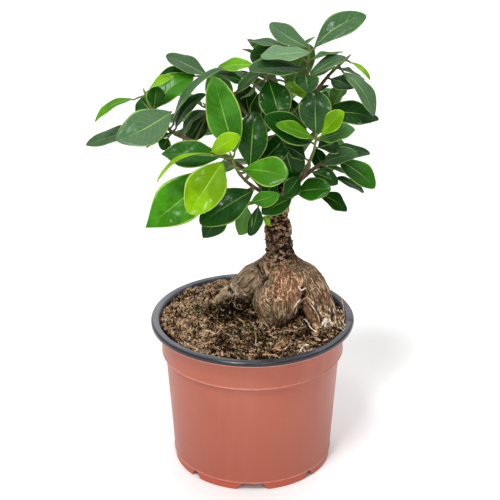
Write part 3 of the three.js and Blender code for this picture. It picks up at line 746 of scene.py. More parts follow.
def root_bark(board):
    """Fine wrinkles along the swollen roots, black-brown broken bark on the trunk."""
    rough = board.attribute("rough_bark")
    relief = board.attribute("relief")
    grain_place = board.attribute("grain_place", "Vector")
    lines = board.noise(0.95, 2, 0.5, place=grain_place, distortion=0.4)
    fine_lines = board.noise(1.90, 2, 0.5, place=grain_place, distortion=0.4)
    blotch = board.noise(75, 5, 0.6)
    grit = board.noise(900, 5, 0.75)
    broken = board.noise(390, 5, 0.68, (1, 1, 1.6), distortion=0.6)
    # Painted shade: the crust is drawn darker where the relief is low
    broken = board.plus(broken, board.times(board.minus(relief, 0.5), 0.2))
    wrinkles = board.math(
        "MAXIMUM",
        wrinkle_lines(board, lines, 0.5, 0.85),
        wrinkle_lines(board, fine_lines, 0.52, 0.6),
    )
    skin = lobe_skin(board, lines, fine_lines, wrinkles, blotch, grit, relief)
    skin = board.mix(rough, skin, trunk_crust(board, broken, blotch))
    pale = board.ramp(board.blend((lines, 0.35), (fine_lines, 0.65)), PEELED_WOOD)
    skin = board.mix(board.attribute("peeled"), skin, pale)
    height = board.blend(
        (lines, 0.9), (fine_lines, 0.4), (wrinkles, -0.8), (grit, 0.6), (board.times(broken, rough), 6.0)
    )
    return {
        # Painted shade: the hollow value darkens concave places, crevices and the roots' low parts near the
        # peat
        "Base Color": board.mix(board.attribute("hollow"), skin, ROOT_PAINTED_SHADE),
        "Roughness": board.span(grit, 0.2, 0.8, 0.5, 0.9),
        "Normal": board.bump(height, 0.0010),
    }


# Colours of thin roots and dry fibres, from the darkest shade to the palest
ROOT_TANS = [
    (0.0, (0.010, 0.006, 0.004)),
    (0.4, (0.17, 0.095, 0.045)),
    (0.66, (0.58, 0.34, 0.17)),
    (0.85, (0.82, 0.62, 0.42)),
    (1.0, (1.0, 0.90, 0.76)),
]
FIBRE_TANS = [
    (0.0, (0.04, 0.020, 0.010)),
    (0.4, (0.20, 0.105, 0.05)),
    (0.75, (0.58, 0.36, 0.19)),
    (1.0, (1.0, 0.80, 0.58)),
]
ROOT_STAIN = (0.02, 0.01, 0.005)


def root_skin(board):
    """Thin roots and peeled strips, from dark brown over tan to nearly white."""
    grain = board.noise(500, 5, 0.7, (1, 1, 0.5))
    stain = board.noise(260, 3, 0.6, (1, 1, 0.4))
    tan = board.ramp(board.plus(board.attribute("shade"), board.minus(stain, 0.5)), ROOT_TANS)
    stained = board.mix(0.75, tan, ROOT_STAIN)
    return {
        "Base Color": board.mix(board.span(grain, 0.4, 0.58, 0.7, 0.0), tan, stained),
        "Normal": board.bump(grain, 0.0003, 0.8),
    }


# Peat colours: the bed under the bits, then the bits from the darkest shade to the palest
BED_PEAT = [
    (0.4, (0.003, 0.002, 0.001)),
    (0.6, (0.02, 0.011, 0.006)),
    (0.75, (0.09, 0.048, 0.024)),
]
PEAT_SHADES = [
    (0.0, (0.003, 0.002, 0.001)),
    (0.45, (0.014, 0.007, 0.004)),
    (0.57, (0.15, 0.070, 0.032)),
    (0.80, (0.66, 0.37, 0.185)),
    (1.0, (0.95, 0.70, 0.45)),
]
PEAT_ROSE = (1.0, 0.80, 0.80)
PEAT_PIT = (0.01, 0.006, 0.004)
MOSS = (0.006, 0.014, 0.003), (0.10, 0.13, 0.035)


def peat_crust(board):
    """Dark moist peat."""
    grit = board.noise(700, 6, 0.7)
    return {"Base Color": board.ramp(grit, BED_PEAT), "Normal": board.bump(grit, 0.001)}


def damp_patches(board):
    """How much lighter or darker than the rest the peat is, in patches some millimetres across."""
    return board.times(board.minus(board.noise(180, 4, 0.6), 0.53), 2.5)


def peat_bits(board):
    """Crumbs from black to tan, some of them mossy."""
    grit = board.noise(1500, 4, 0.7)
    tint = board.noise(240, 2)
    # The dry value makes the crumbs paler on the left and darker beside the roots
    dry = board.times(board.attribute("dry"), 0.42)
    bits = board.ramp(board.plus(board.attribute("shade"), dry, damp_patches(board)), PEAT_SHADES)
    rosy = board.mix(1.0, bits, PEAT_ROSE, "MULTIPLY")
    bits = board.mix(board.span(tint, 0.5, 0.62, 0.0, 0.5), bits, rosy)
    pitted = board.mix(0.75, bits, PEAT_PIT)
    bits = board.mix(board.span(grit, 0.4, 0.65, 0.7, 0.0), bits, pitted)
    green = board.mix(grit, *MOSS)
    return {
        "Base Color": board.mix(board.attribute("moss"), bits, green),
        "Normal": board.bump(grit, 0.0006),
    }


def fibre_tan(board):
    """Dry root and bark fibres from dark brown to straw."""
    shade = board.plus(board.attribute("shade"), damp_patches(board))
    return {"Base Color": board.ramp(shade, FIBRE_TANS)}


# Pot colours, and the levels in millimetres between which they change
TERRACOTTA_CLOUD = (0.385, 0.088, 0.045), (0.425, 0.108, 0.060)
TERRACOTTA_STREAK = (0.42, 0.142, 0.10)
TERRACOTTA_LOW_SHADE = (0.31, 0.066, 0.037)
TERRACOTTA_FOOT_SHADOW = (0.46, 0.072, 0.028)
TERRACOTTA_DUST = (0.62, 0.34, 0.27)
TERRACOTTA_RUBBED_HIGHLIGHT = (0.85, 0.46, 0.35)
# The body's painted shade towards the bottom runs between the first two levels
DARKER_FROM, DARKER_TO = 85, 10
# The foot ring's painted shadow runs between these two levels
FOOT_FROM, FOOT_TO = 5.0, 4.6
CHARCOAL_SHADES = [
    (0.35, (0.020, 0.023, 0.032)),
    (0.6, (0.050, 0.056, 0.074)),
    (0.8, (0.18, 0.18, 0.21)),
]
CHARCOAL_PAINTED_SHEEN = (0.23, 0.215, 0.26)
CHARCOAL_SCUFF = (0.34, 0.33, 0.36)
CHARCOAL_RIM_SHADE = (0.012, 0.013, 0.018)
CHARCOAL_INSIDE_SHADE = (0.006, 0.006, 0.008)
# The lip is palest on the left with a painted sheen, from one x to the other, darkens at its rim with painted
# shade and is darkest inside with painted shade
SHEEN_FROM, SHEEN_TO = -20, -58
RIM_FROM, RIM_TO = LIP_RADIUS - 1.4, LIP_RADIUS - 0.7
INSIDE_FROM, INSIDE_TO = POT_HEIGHT - 1.1, POT_HEIGHT - 2.1


def terracotta(board):
    """Thin moulded plastic, slightly uneven in colour, paler on its edges, partly from rubbing and partly
    painted highlight.
    """
    cloud = board.noise(22, 4, 0.6)
    streak = board.noise(60, 3, stretch=(1, 1, 0.12))
    dust = board.noise(420, 5, 0.7)
    grain = board.noise(1800, 3)
    level = board.parts(board.object_place())[2]
    base = board.mix(board.span(cloud, 0.3, 0.7), *TERRACOTTA_CLOUD)
    base = board.mix(board.span(streak, 0.45, 0.75, 0.0, 0.35), base, TERRACOTTA_STREAK)
    # Painted shade: the body is drawn darker towards the bottom
    base = board.mix(board.span(level, DARKER_FROM * MM, DARKER_TO * MM, 0.0, 0.5), base, TERRACOTTA_LOW_SHADE)
    # Painted shadow: the foot ring under the body's ledge is drawn darker and redder
    base = board.mix(board.span(level, FOOT_FROM * MM, FOOT_TO * MM, 0.0, 0.8), base, TERRACOTTA_FOOT_SHADOW)
    base = board.mix(board.span(dust, 0.64, 0.72, 0.0, 0.25), base, TERRACOTTA_DUST)
    # Pale edges at the ridge, the foot crease and under the lip: partly rubbing and partly painted highlight
    rubbed_and_highlit = board.times(board.attribute("worn"), board.span(dust, 0.3, 0.6, 0.5, 1.0))
    return {
        "Base Color": board.mix(rubbed_and_highlit, base, TERRACOTTA_RUBBED_HIGHLIGHT),
        "Roughness": board.span(cloud, 0.3, 0.7, 0.36, 0.46),
        "Normal": board.bump(board.plus(grain, board.times(streak, 2.0)), 0.0001, 0.5),
    }


def charcoal(board):
    """The dark lining that shows on the lip and inside, with a few dusty marks, a painted sheen on its left
    and painted shade at its rim and inside.
    """
    cloud = board.noise(90, 5, 0.65)
    scuff = board.noise(700, 5, 0.7, (1, 1, 0.5))
    grain = board.noise(1500, 3)
    x, _, level = board.parts(board.object_place())
    level_place = board.object_place((1, 1, 0))
    away = board.add(
        "ShaderNodeVectorMath", {0: level_place, 1: tuple(POT_AXIS * MM)}, operation="DISTANCE"
    ).outputs["Value"]
    base = board.ramp(cloud, CHARCOAL_SHADES)
    # Painted sheen on the left of the lip
    base = board.mix(board.span(x, SHEEN_FROM * MM, SHEEN_TO * MM, 0.0, 0.6), base, CHARCOAL_PAINTED_SHEEN)
    base = board.mix(board.span(scuff, 0.62, 0.72, 0.0, 0.5), base, CHARCOAL_SCUFF)
    # Painted shade on the lip's outer rim
    base = board.mix(board.span(away, RIM_FROM * MM, RIM_TO * MM, 0.0, 0.8), base, CHARCOAL_RIM_SHADE)
    # Painted shade inside the pot below the lip
    base = board.mix(board.span(level, INSIDE_FROM * MM, INSIDE_TO * MM), base, CHARCOAL_INSIDE_SHADE)
    return {
        "Base Color": base,
        "Roughness": board.span(cloud, 0.3, 0.7, 0.12, 0.26),
        "Normal": board.bump(grain, 0.0001, 0.6),
    }


LEAF = surface("waxy leaf", leaf_green, Specular_IOR_Level=0.02, Coat_Weight=0.22, Coat_Roughness=0.16)
TWIG = surface("twig bark", twig_bark)
BARK = surface("root and trunk bark", root_bark, Specular_IOR_Level=0.2)
ROOT = surface("thin root", root_skin, Roughness=0.8, Specular_IOR_Level=0.2)
PEAT = surface("peat", peat_crust, Roughness=0.95, Specular_IOR_Level=0.05)
CRUMB = surface("peat crumbs", peat_bits, Roughness=0.8, Specular_IOR_Level=0.1)
FIBRE = surface("dry fibres", fibre_tan, Roughness=0.8, Specular_IOR_Level=0.2)
TERRACOTTA = surface("terracotta plastic", terracotta)
CHARCOAL = surface("charcoal lining", charcoal)


# Leafy stems
BLADE_STATIONS = 20
HALF_STATIONS = np.array([0, 0.05, 0.12, 0.24, 0.4, 0.58, 0.76, 0.9, 1.0])
BLADE_ACROSS = np.concatenate([-HALF_STATIONS[:0:-1], HALF_STATIONS])
BLADE_THICKNESS = 0.5
FOLD_SOFTNESS = 0.16
MARGIN_RIPPLE = 0.03
GROOVE_WIDTH = 0.55
GROOVE_ABOVE, GROOVE_BELOW = 0.16, 0.36
STALK_RADIUS = 0.62
STALK_STEPS = 7
STEM_STEPS = 44
STEM_SIDES = 12
LEAF_SCARS = 9
SCAR_RISE = 0.16
SCAR_WIDTH = 0.12
TIP_BUD_LENGTH = 5
TIP_BUD_RADIUS = 0.95
TRUNK_BUD_RADIUS = 1.5
TRUNK_BUD_STALK_RADIUS = 0.45
TRUNK_BUD_STEPS = 12


def half_width(share, widest, point):
    """How wide half the blade is, of its most: tapered into the stalk, round or pointed at the tip."""
    skew = math.log(0.5) / math.log(widest)
    fullness = 0.84 - 0.26 * share + 0.55 * point * share
    return max(0.0, math.sin(math.pi * share**skew)) ** fullness


def blade(leaf, body, draw):
    """One blade: a folded, arched and slightly wavy sheet with a sunk midrib, thin at its margin."""
    base, tip = leaf["base"], leaf["tip"]
    length = np.linalg.norm(tip - base)
    chord = unit(tip - base)
    flat = unit(leaf["facing"] - chord * leaf["facing"].dot(chord))
    angle = math.radians(leaf["turn"])
    normal = flat * math.cos(angle) + np.cross(flat, chord) * math.sin(angle)
    side = np.cross(chord, normal)
    wave_size = drawn(draw, 0.05, 0.13)
    wave_start = drawn(draw, 0, 2 * math.pi)
    twist = math.radians(drawn(draw, -9, 9))
    roll_down = drawn(draw, 0.10, 0.24)
    lobes = drawn(draw, 1.3, 2.3)
    speck = next(draw)

    def sheet_point(share, across, lift):
        half = leaf["width"] / 2 * half_width(share, leaf["widest"], leaf["point"])
        fold = math.hypot(across, FOLD_SOFTNESS) - FOLD_SOFTNESS
        fold *= BLADE_FOLD * (1 - 2.2 * roll_down * across**2)
        wave = wave_size * across**2 * math.sin(2 * math.pi * lobes * share + wave_start + across)
        groove = math.exp(-((across * half / GROOVE_WIDTH) ** 2)) * (1 - 0.6 * share)
        bow = length * 4 * share * (1 - share)
        height = leaf["arch"] * bow + (fold + wave) * half
        height += 0.5 * lift * BLADE_THICKNESS * (1 - across**6)
        height -= (GROOVE_ABOVE if lift > 0 else GROOVE_BELOW) * groove
        turn = twist * (share - 0.5)
        ripple = MARGIN_RIPPLE * math.sin(9 * share + wave_start * (2 + across))
        edge = across * half * (1 + ripple)
        return (
            base
            + chord * length * share
            + normal * (height + edge * math.sin(turn))
            + side * (edge * math.cos(turn) + leaf["bend"] * bow)
        )

    shares = 0.5 - 0.5 * np.cos(np.pi * np.arange(1, BLADE_STATIONS) / BLADE_STATIONS)
    section = [(v, 1) for v in BLADE_ACROSS] + [(v, -1) for v in BLADE_ACROSS[-2:0:-1]]
    points = [sheet_point(share, v, lift) for share in shares for v, lift in section]
    places = np.array([(share, abs(v)) for share in shares for v, _ in section] + [(0, 0), (1, 0)])
    body.add(
        points + [base, tip],
        ring_faces(len(shares), len(section)),
        along=places[:, 0],
        across=places[:, 1],
        underside=[float(lift < 0) for _ in shares for _, lift in section] + [0, 0],
        tone=leaf["tone"],
        bloom=leaf["bloom"],
        speck=speck,
    )
    return chord, length


def leaf_stalk(leaf, chord, length, body):
    """The stalk curves out of the stem and runs on as the start of the midrib."""
    root, base = leaf["root"], leaf["base"]
    reach = np.linalg.norm(base - root)
    end = base + chord * 0.05 * length
    bend = base - chord * 0.45 * reach
    shares = np.linspace(0, 1, STALK_STEPS + 1)[:, None]
    line = root * (1 - shares) ** 2 + 2 * bend * shares * (1 - shares) + end * shares**2
    radii = STALK_RADIUS * (1.25 - 0.45 * shares[:, 0])
    points, faces, _ = swept(line, radii, 8)
    age = 0.75 - 0.4 * min(leaf["tone"], 1.8)
    body.add(points, faces, kind=1, age=max(age, 0), tone=leaf["tone"])


def stem_wood(path, body):
    """The stem with its rings of leaf scars, ending in a pointed bud."""
    line = curve_points(path, STEM_STEPS)
    shares = np.linspace(0, 1, STEM_STEPS + 1)
    scars = 1 + SCAR_RISE * np.exp(-(((shares * LEAF_SCARS % 1 - 0.5) / SCAR_WIDTH) ** 2))
    points, faces, along = swept(line, mixed(shares, STEM_THICK, STEM_THIN) * scars, STEM_SIDES)
    body.add(points, faces, kind=1, age=smooth_step(along, 1.0, 0.45))
    heading = unit(line[-1] - line[-3])
    shares = np.linspace(0, 1, 8)
    bud = line[-1] + heading * TIP_BUD_LENGTH * shares[:, None]
    radii = TIP_BUD_RADIUS * (1 - shares) ** 0.7 * (0.75 + 0.5 * shares) + 0.08
    points, faces, _ = swept(bud, radii, 10)
    body.add(points, faces, kind=1, tone=1.4)


def trunk_bud(body):
    """A young lime bud on its dark stalk, at the trunk's left."""
    stalk = curve_points(BUD_STALK, TRUNK_BUD_STEPS)
    points, faces, _ = swept(stalk, np.full(len(stalk), TRUNK_BUD_STALK_RADIUS), 8)
    body.add(points, faces, kind=1, age=1.0)
    bud = curve_points(BUD, TRUNK_BUD_STEPS)
    radii = 0.4 + TRUNK_BUD_RADIUS * np.sin(np.linspace(0.25, math.pi - 0.35, len(bud)))
    points, faces, _ = swept(bud, radii, 12)
    body.add(points, faces, along=0.5, across=0.5, tone=1.75)


def leafy_stem(name, path, leaves, draw):
    node = f"leafy_stem_{name}"
    corners, _ = mesh_arrays(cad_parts[node].data)
    body = Body("along", "across", "underside", "tone", "age", "speck", "bloom")
    stem_wood(path, body)
    if name == BUD_STEM:
        trunk_bud(body)
    # Leaves that stand alone draw from a stream of their own, and the others keep theirs
    alone_draw = lehmer(SEED + 3)
    for leaf in leaves:
        if leaf["alone"]:
            chord, length = blade(leaf, body, alone_draw)
        else:
            leaf = settled(leaf, corners)
            chord, length = blade(leaf, body, draw)
        leaf_stalk(leaf, chord, length, body)
    mesh = body.mesh(node + "_grown", LEAF, TWIG)
    layer = mesh.uv_layers.new(name="blade")
    corner_points = np.zeros(len(mesh.loops), np.int32)
    mesh.loops.foreach_get("vertex_index", corner_points)
    places = np.stack([np.concatenate(body.numbers[key]) for key in ("along", "across")], 1)
    layer.data.foreach_set("uv", places[corner_points].ravel().astype(np.float32))
    piece = placed(node + "_grown", mesh)
    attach(piece, "root")
    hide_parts(node)


def leafy_stems():
    shape_draw = lehmer(SEED)
    look_draw = lehmer(SEED + 1)
    for name, (path, rows) in SHOOTS.items():
        leafy_stem(name, path, front_leaves(path, rows), look_draw)
    for name, (path, count) in REAR_SHOOTS.items():
        leafy_stem(name, path, rear_leaves(path, count, shape_draw), look_draw)


# Rootstock
ROOT_VOXEL = 1.15
WELD_REACH = 0.02
HOLLOW_FROM, HOLLOW_FULL = 0.25, 0.8
HOLLOW_DEPTH = 2.2
# The crust comes down to a level of the trunk, and in a tongue below it
NECK_LEVEL = 125
NECK_FADE = 3
NECK_TONGUE = (274, 262, 2)
NECK_TONGUE_REACH = 9
# Places with how far they reach, in millimetres
ROSY_PLACES = [((290, 284, 22), 13), ((331, 303, 12), 8)]
PEELED_PLACES = [((327, 318, 14), 11), ((336, 322, 8), 8)]
# Painted light: round this place the left lobe's lit side is painted paler
LIT_SIDE_PLACE = (241, 277, 6)
LIT_SIDE_REACH = 20
# The way the wrinkles run: from one point of the picture towards another
GRAINS = [
    ((279, 230, 0), (279, 200, 0)),
    ((247, 270, 3), (229, 285, 1)),
    ((236, 284, 3), (218, 299, 1)),
    ((261, 266, 4), (266, 280, 6)),
    ((284, 268, 14), (280, 286, 22)),
    ((263, 296, 20), (279, 318, 26)),
    ((286, 302, 24), (287, 322, 26)),
    ((298, 272, 12), (304, 292, 16)),
    ((314, 276, 4), (330, 306, 8)),
    ((308, 300, 16), (320, 332, 18)),
    ((286, 266, -14), (296, 294, -24)),
    ((264, 272, -14), (244, 298, -26)),
]
GRAIN_ORIGIN = (279, 262, 5)
GRAIN_STRETCH = 0.87
# Deep creases between the lobes, carved in and darkened with painted shade, along paths of the picture, each
# with its width there
CREVICES = [
    ([(257, 264), (260, 270), (265, 279)], 1.0),
    ([(257, 271), (260, 276), (264, 281)], 0.45),
    ([(262, 267), (264, 272), (267, 278)], 0.45),
    ([(267, 277), (261, 284), (255, 291), (253, 299)], 1.3),
    ([(303, 288), (305, 293), (303, 299), (297, 308), (291, 315)], 1.2),
    ([(230, 290), (236, 293), (242, 296)], 1.2),
]
CREVICE_DEPTH = 2.0
CREVICE_RAGGED = 0.8
# Near the peat the roots get painted shade, darker from one level to the other
LOW_SHADE_FROM, LOW_SHADE_TO = 94, 110
LOW_PAINTED_SHADE = 0.3


def point_noise(points, scale, stretch=(1, 1, 1), octaves=3):
    """Fractal noise at each point, for bumps about 1 / scale millimetres across."""
    scaled = points * np.array(stretch) * scale
    return np.array([noise.fractal(Vector(p), 0.9, 2.1, octaves) for p in scaled])


def evened(mesh, values, times):
    """The values, averaged with their neighbours' over and over."""
    edges = np.zeros(2 * len(mesh.edges), np.int32)
    mesh.edges.foreach_get("vertices", edges)
    edges = edges.reshape(-1, 2)
    share = np.bincount(edges.ravel(), minlength=len(values)).reshape(-1, 1)
    for _ in range(times):
        total = np.zeros_like(values)
        np.add.at(total, edges[:, 0], values[edges[:, 1]])
        np.add.at(total, edges[:, 1], values[edges[:, 0]])
        values = 0.5 * values + 0.5 * total / share
    return values


def grain_places(points):
    """Each point with its place along the nearest grain pressed together, so that noise runs along it."""
    middles = np.array([seen(start) for start, _ in GRAINS])
    headings = np.array([unit(seen(end) - seen(start)) for start, end in GRAINS])
    distances = np.linalg.norm(points[:, None] - middles, axis=2)
    heading = headings[distances.argmin(axis=1)]
    along = np.sum((points - seen(GRAIN_ORIGIN)) * heading, axis=1)
    return points - GRAIN_STRETCH * along[:, None] * heading


def near_to(points, place, reach, ragged):
    """From 1 near a place of the picture to 0 at its reach, with a ragged edge."""
    distance = np.linalg.norm(points - seen(place), axis=1) + ragged
    return smooth_step(distance, reach, 0.5 * reach)


def near_any(points, places, ragged):
    return np.clip(sum(near_to(points, place, reach, ragged) for place, reach in places), 0, 1)


def pictured(points):
    """Where each point is seen in the picture."""
    away = points - EYE
    depth = away @ AHEAD
    x = PICTURE_AXIS + PICTURE_SCALE * away[:, 0] / depth
    y = PICTURE_MIDDLE - PICTURE_SCALE * (away @ ABOVE) / depth
    return np.stack([x, y], 1)


def near_path(places, path):
    """How far each place of the picture is from a path of straight runs."""
    nearest = np.full(len(places), np.inf)
    for start, end in zip(np.array(path[:-1], float), np.array(path[1:], float)):
        run = end - start
        share = np.clip((places - start) @ run / (run @ run), 0, 1)
        nearest = np.minimum(nearest, np.linalg.norm(places - start - share[:, None] * run, axis=1))
    return nearest


def crevices(points, normals):
    """How deep in a crevice each point lies, from 0 to 1, on the side that faces the eye."""
    toward = EYE - points
    toward /= np.linalg.norm(toward, axis=1)[:, None]
    facing = smooth_step(np.sum(normals * toward, axis=1), 0.05, 0.35)
    ragged = np.stack([point_noise(points, 0.3), point_noise(points + 50, 0.3)], 1)
    places = pictured(points) + CREVICE_RAGGED * ragged
    depth = sum(np.exp(-((near_path(places, path) / width) ** 2)) for path, width in CREVICES)
    return np.clip(depth, 0, 1) * facing


def skinned_rootstock():
    """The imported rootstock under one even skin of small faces."""
    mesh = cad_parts["rootstock"].data.copy()
    mesh.materials.clear()
    piece = placed("rootstock_bark", mesh)
    weld = piece.modifiers.new("weld", "WELD")
    weld.merge_threshold = WELD_REACH * MM
    remesh = piece.modifiers.new("skin", "REMESH")
    remesh.mode = "VOXEL"
    remesh.voxel_size = ROOT_VOXEL * MM
    soften = piece.modifiers.new("soften", "SMOOTH")
    soften.factor = 0.5
    soften.iterations = 3
    finer = piece.modifiers.new("finer", "SUBSURF")
    finer.levels = finer.render_levels = 1
    return finished(piece)


def deepened(mesh):
    """The points with the hollows between the lobes sunk in, their normals, and how hollow each place is."""
    points, normals = mesh_arrays(mesh)
    hollow = np.sum((evened(mesh, points, 60) - points) * normals, axis=1)
    points = points - normals * (HOLLOW_DEPTH * smooth_step(hollow, HOLLOW_FROM, HOLLOW_FULL))[:, None]
    return mixed(0.5, points, evened(mesh, points, 3)), normals, hollow


def lobe_relief(points, grain):
    """The swollen roots' soft wrinkles, creases and lumps."""
    creases = 0.35 - np.abs(point_noise(grain, 0.26))
    return 0.15 * point_noise(grain, 0.5) + 0.25 * creases + 0.6 * point_noise(points, 0.13)


def trunk_relief(points, cracked):
    """The trunk's knobs, ridges and chips, with cracks between them."""
    knobs = point_noise(points, 0.20, (1, 1, 1.4), 2)
    ridges = point_noise(points, 0.36, (1, 1, 1.6), 2)
    chips = point_noise(points, 0.8)
    return 1.3 * knobs + 1.5 * ridges + 0.45 * chips - 1.1 * cracked + 0.2


def make_rootstock():
    piece = skinned_rootstock()
    mesh = piece.data
    points, normals, hollow = deepened(mesh)
    ragged = point_noise(points, 0.25)
    ragged_level = points[:, 2] + 4 * ragged
    tongue = near_to(points, NECK_TONGUE, NECK_TONGUE_REACH, 3 * ragged)
    rough = smooth_step(ragged_level, NECK_LEVEL - NECK_FADE, NECK_LEVEL + NECK_FADE)
    rough = np.maximum(rough, 0.9 * tongue)
    cracked = np.exp(-((point_noise(points + 30, 0.24, (1, 1, 1.3), 2) / 0.08) ** 2)) * rough
    peeled = near_any(points, PEELED_PLACES, 5 * ragged)
    carved = crevices(points, normals)
    grain = grain_places(points)
    strips = 0.3 - np.abs(point_noise(grain, 0.7))
    relief = mixed(rough, lobe_relief(points, grain), trunk_relief(points, cracked))
    relief = mixed(peeled, relief, 1.6 * strips)
    relief = mixed(carved, relief, -CREVICE_DEPTH)
    set_points(mesh, points + normals * relief[:, None])
    # Painted shade: concave places of the lobes and the carved crevices are darkened
    shaded = 0.4 * smooth_step(hollow, HOLLOW_FROM + 0.3, HOLLOW_FULL + 0.7) * (1 - rough)
    # Painted shade: the roots' low parts near the peat are darkened
    shaded = np.maximum(shaded, LOW_PAINTED_SHADE * smooth_step(ragged_level, LOW_SHADE_TO, LOW_SHADE_FROM))
    looks = {
        "rough_bark": rough,
        # the relief also paints shade into low places of skin and crust
        "relief": np.clip(0.5 + 0.5 * relief, 0, 1),
        "rosy": near_any(points, ROSY_PLACES, 8 * ragged),
        "cracked": 0.9 * cracked,
        "peeled": 0.85 * peeled,
        # painted shade in concave places, crevices and near the peat
        "hollow": np.maximum(shaded, 0.92 * carved**1.5),
        # painted light on the left lobe's lit side
        "pale": near_to(points, LIT_SIDE_PLACE, LIT_SIDE_REACH, 4 * ragged),
        "grain_place": grain,
    }
    for name, values in looks.items():
        set_values(mesh, name, values)
    mesh.materials.append(BARK)
    mesh.polygons.foreach_set("use_smooth", [True] * len(mesh.polygons))
    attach(piece, "root")
    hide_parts("rootstock")
    return piece


# Thin roots, peeled strips and stray straws. Each lies on what is seen behind it: its path in the picture,
# how far its middle stands off, its radius, its shade from dark to pale, and how many times as wide as thick.
Strand = namedtuple("Strand", "path stand radius shade width", defaults=[1])
ROOT_STRANDS = [
    Strand([(295, 314), (298, 305), (302, 300), (307, 298), (312, 302), (315, 308)], 0.6, 0.5, 0.8),
    Strand([(305, 305), (309, 313), (314, 321), (318, 327)], 2.2, 2.8, 0.36),
    Strand([(313, 323), (316, 327), (318, 329)], 2.0, 1.6, 0.66),
    Strand([(300, 307), (303, 314), (307, 322), (312, 329), (318, 333)], 3.4, 0.45, 1.0),
    Strand([(296, 312), (300, 307), (306, 303)], 1.0, 0.4, 1.0),
    Strand([(296, 314), (301, 315), (304, 317)], 1.0, 0.35, 1.0),
    Strand([(309, 302), (314, 309), (318, 316), (320, 326)], 3.4, 0.4, 0.8),
    # A near-black strand: painted shadow in a gap between the peeled strips
    Strand([(318, 311), (320, 318), (320, 326)], 1.2, 0.75, 0.0),
    Strand([(323, 312), (327, 315), (331, 318)], 1.6, 0.5, 0.95, 2),
    Strand([(327, 317), (324, 322), (321, 328)], 2.0, 0.7, 1.0, 1.6),
    Strand([(328, 319), (328, 326), (327, 332)], 1.4, 0.45, 0.95),
    Strand([(333, 321), (333, 326), (333, 331)], 1.2, 0.4, 0.9),
    # Two near-black strands: painted shadow in gaps between the strips
    Strand([(325, 318), (326, 323), (325, 329)], 0.8, 0.5, 0.02),
    Strand([(330, 318), (331, 323), (330, 329)], 0.8, 0.45, 0.02),
    Strand([(336, 327), (340, 328), (344, 331)], 1.0, 0.4, 0.85),
    Strand([(337, 324), (341, 325), (345, 329)], 1.2, 0.35, 0.7),
    Strand([(300, 299), (295.6, 305.5), (290.6, 313.5), (284, 320.5)], 0.6, 0.5, 0.8, 1.3),
    Strand([(297, 303), (299, 309), (298, 315)], 0.8, 0.3, 0.8),
    Strand([(287, 241, 12), (291, 247, 10), (294, 252, 9), (296, 257, 9), (297, 263, 9)], 0, 0.32, 0.02),
    Strand([(288, 249), (292, 256), (296, 263)], 0.5, 0.3, 0.5),
    Strand([(298, 286), (301, 290), (306, 288)], 0.3, 0.45, 0.95),
    Strand([(265, 261), (266, 267), (268, 274)], 0.2, 0.6, 0.7, 2.6),
    Strand([(231, 284), (234, 289), (238, 294)], 0.5, 0.75, 0.92, 1.6),
    Strand([(237, 286), (236, 291), (238, 295)], 0.6, 0.7, 0.97, 1.8),
    Strand([(233, 295), (240, 293), (246, 295)], 0.5, 0.8, 0.9, 1.6),
    Strand([(240, 288), (245, 294), (252, 296)], 0.4, 0.35, 0.85),
    Strand([(228, 286), (227, 291), (229, 296)], 0.5, 0.7, 0.72, 1.8),
    Strand([(224, 280), (226, 287), (228, 295)], 1.6, 0.8, 0.5, 2.4),
    Strand([(227, 288), (221, 296), (214, 304)], 1.6, 1.8, 0.80, 1.4),
    Strand([(236, 284), (239, 288), (241, 292)], 0.5, 0.5, 0.86, 1.8),
    Strand([(233, 290), (237, 291), (241, 290)], 0.5, 0.45, 0.84, 1.8),
    Strand([(229, 292), (232, 296), (237, 298)], 0.5, 0.5, 0.86, 1.8),
    Strand([(253, 299), (254, 307), (258, 316), (264, 323), (270, 328)], 0.4, 0.42, 0.84),
    Strand([(330, 298), (334, 306), (338, 316), (343, 327)], 0.8, 0.4, 0.62),
    Strand([(341, 298), (343, 305), (344, 315), (343, 327)], 1.5, 0.42, 0.66),
    Strand([(322, 311), (326, 318), (325, 328)], 1.2, 0.6, 1.0, 2),
    Strand([(330, 308), (329, 317), (333, 326)], 1.2, 0.5, 1.0, 2),
    Strand([(318, 309), (322, 315), (328, 317)], 1.4, 0.4, 1.0, 2),
    Strand([(336, 314), (335, 322), (330, 328)], 1.0, 0.45, 0.9, 2),
]
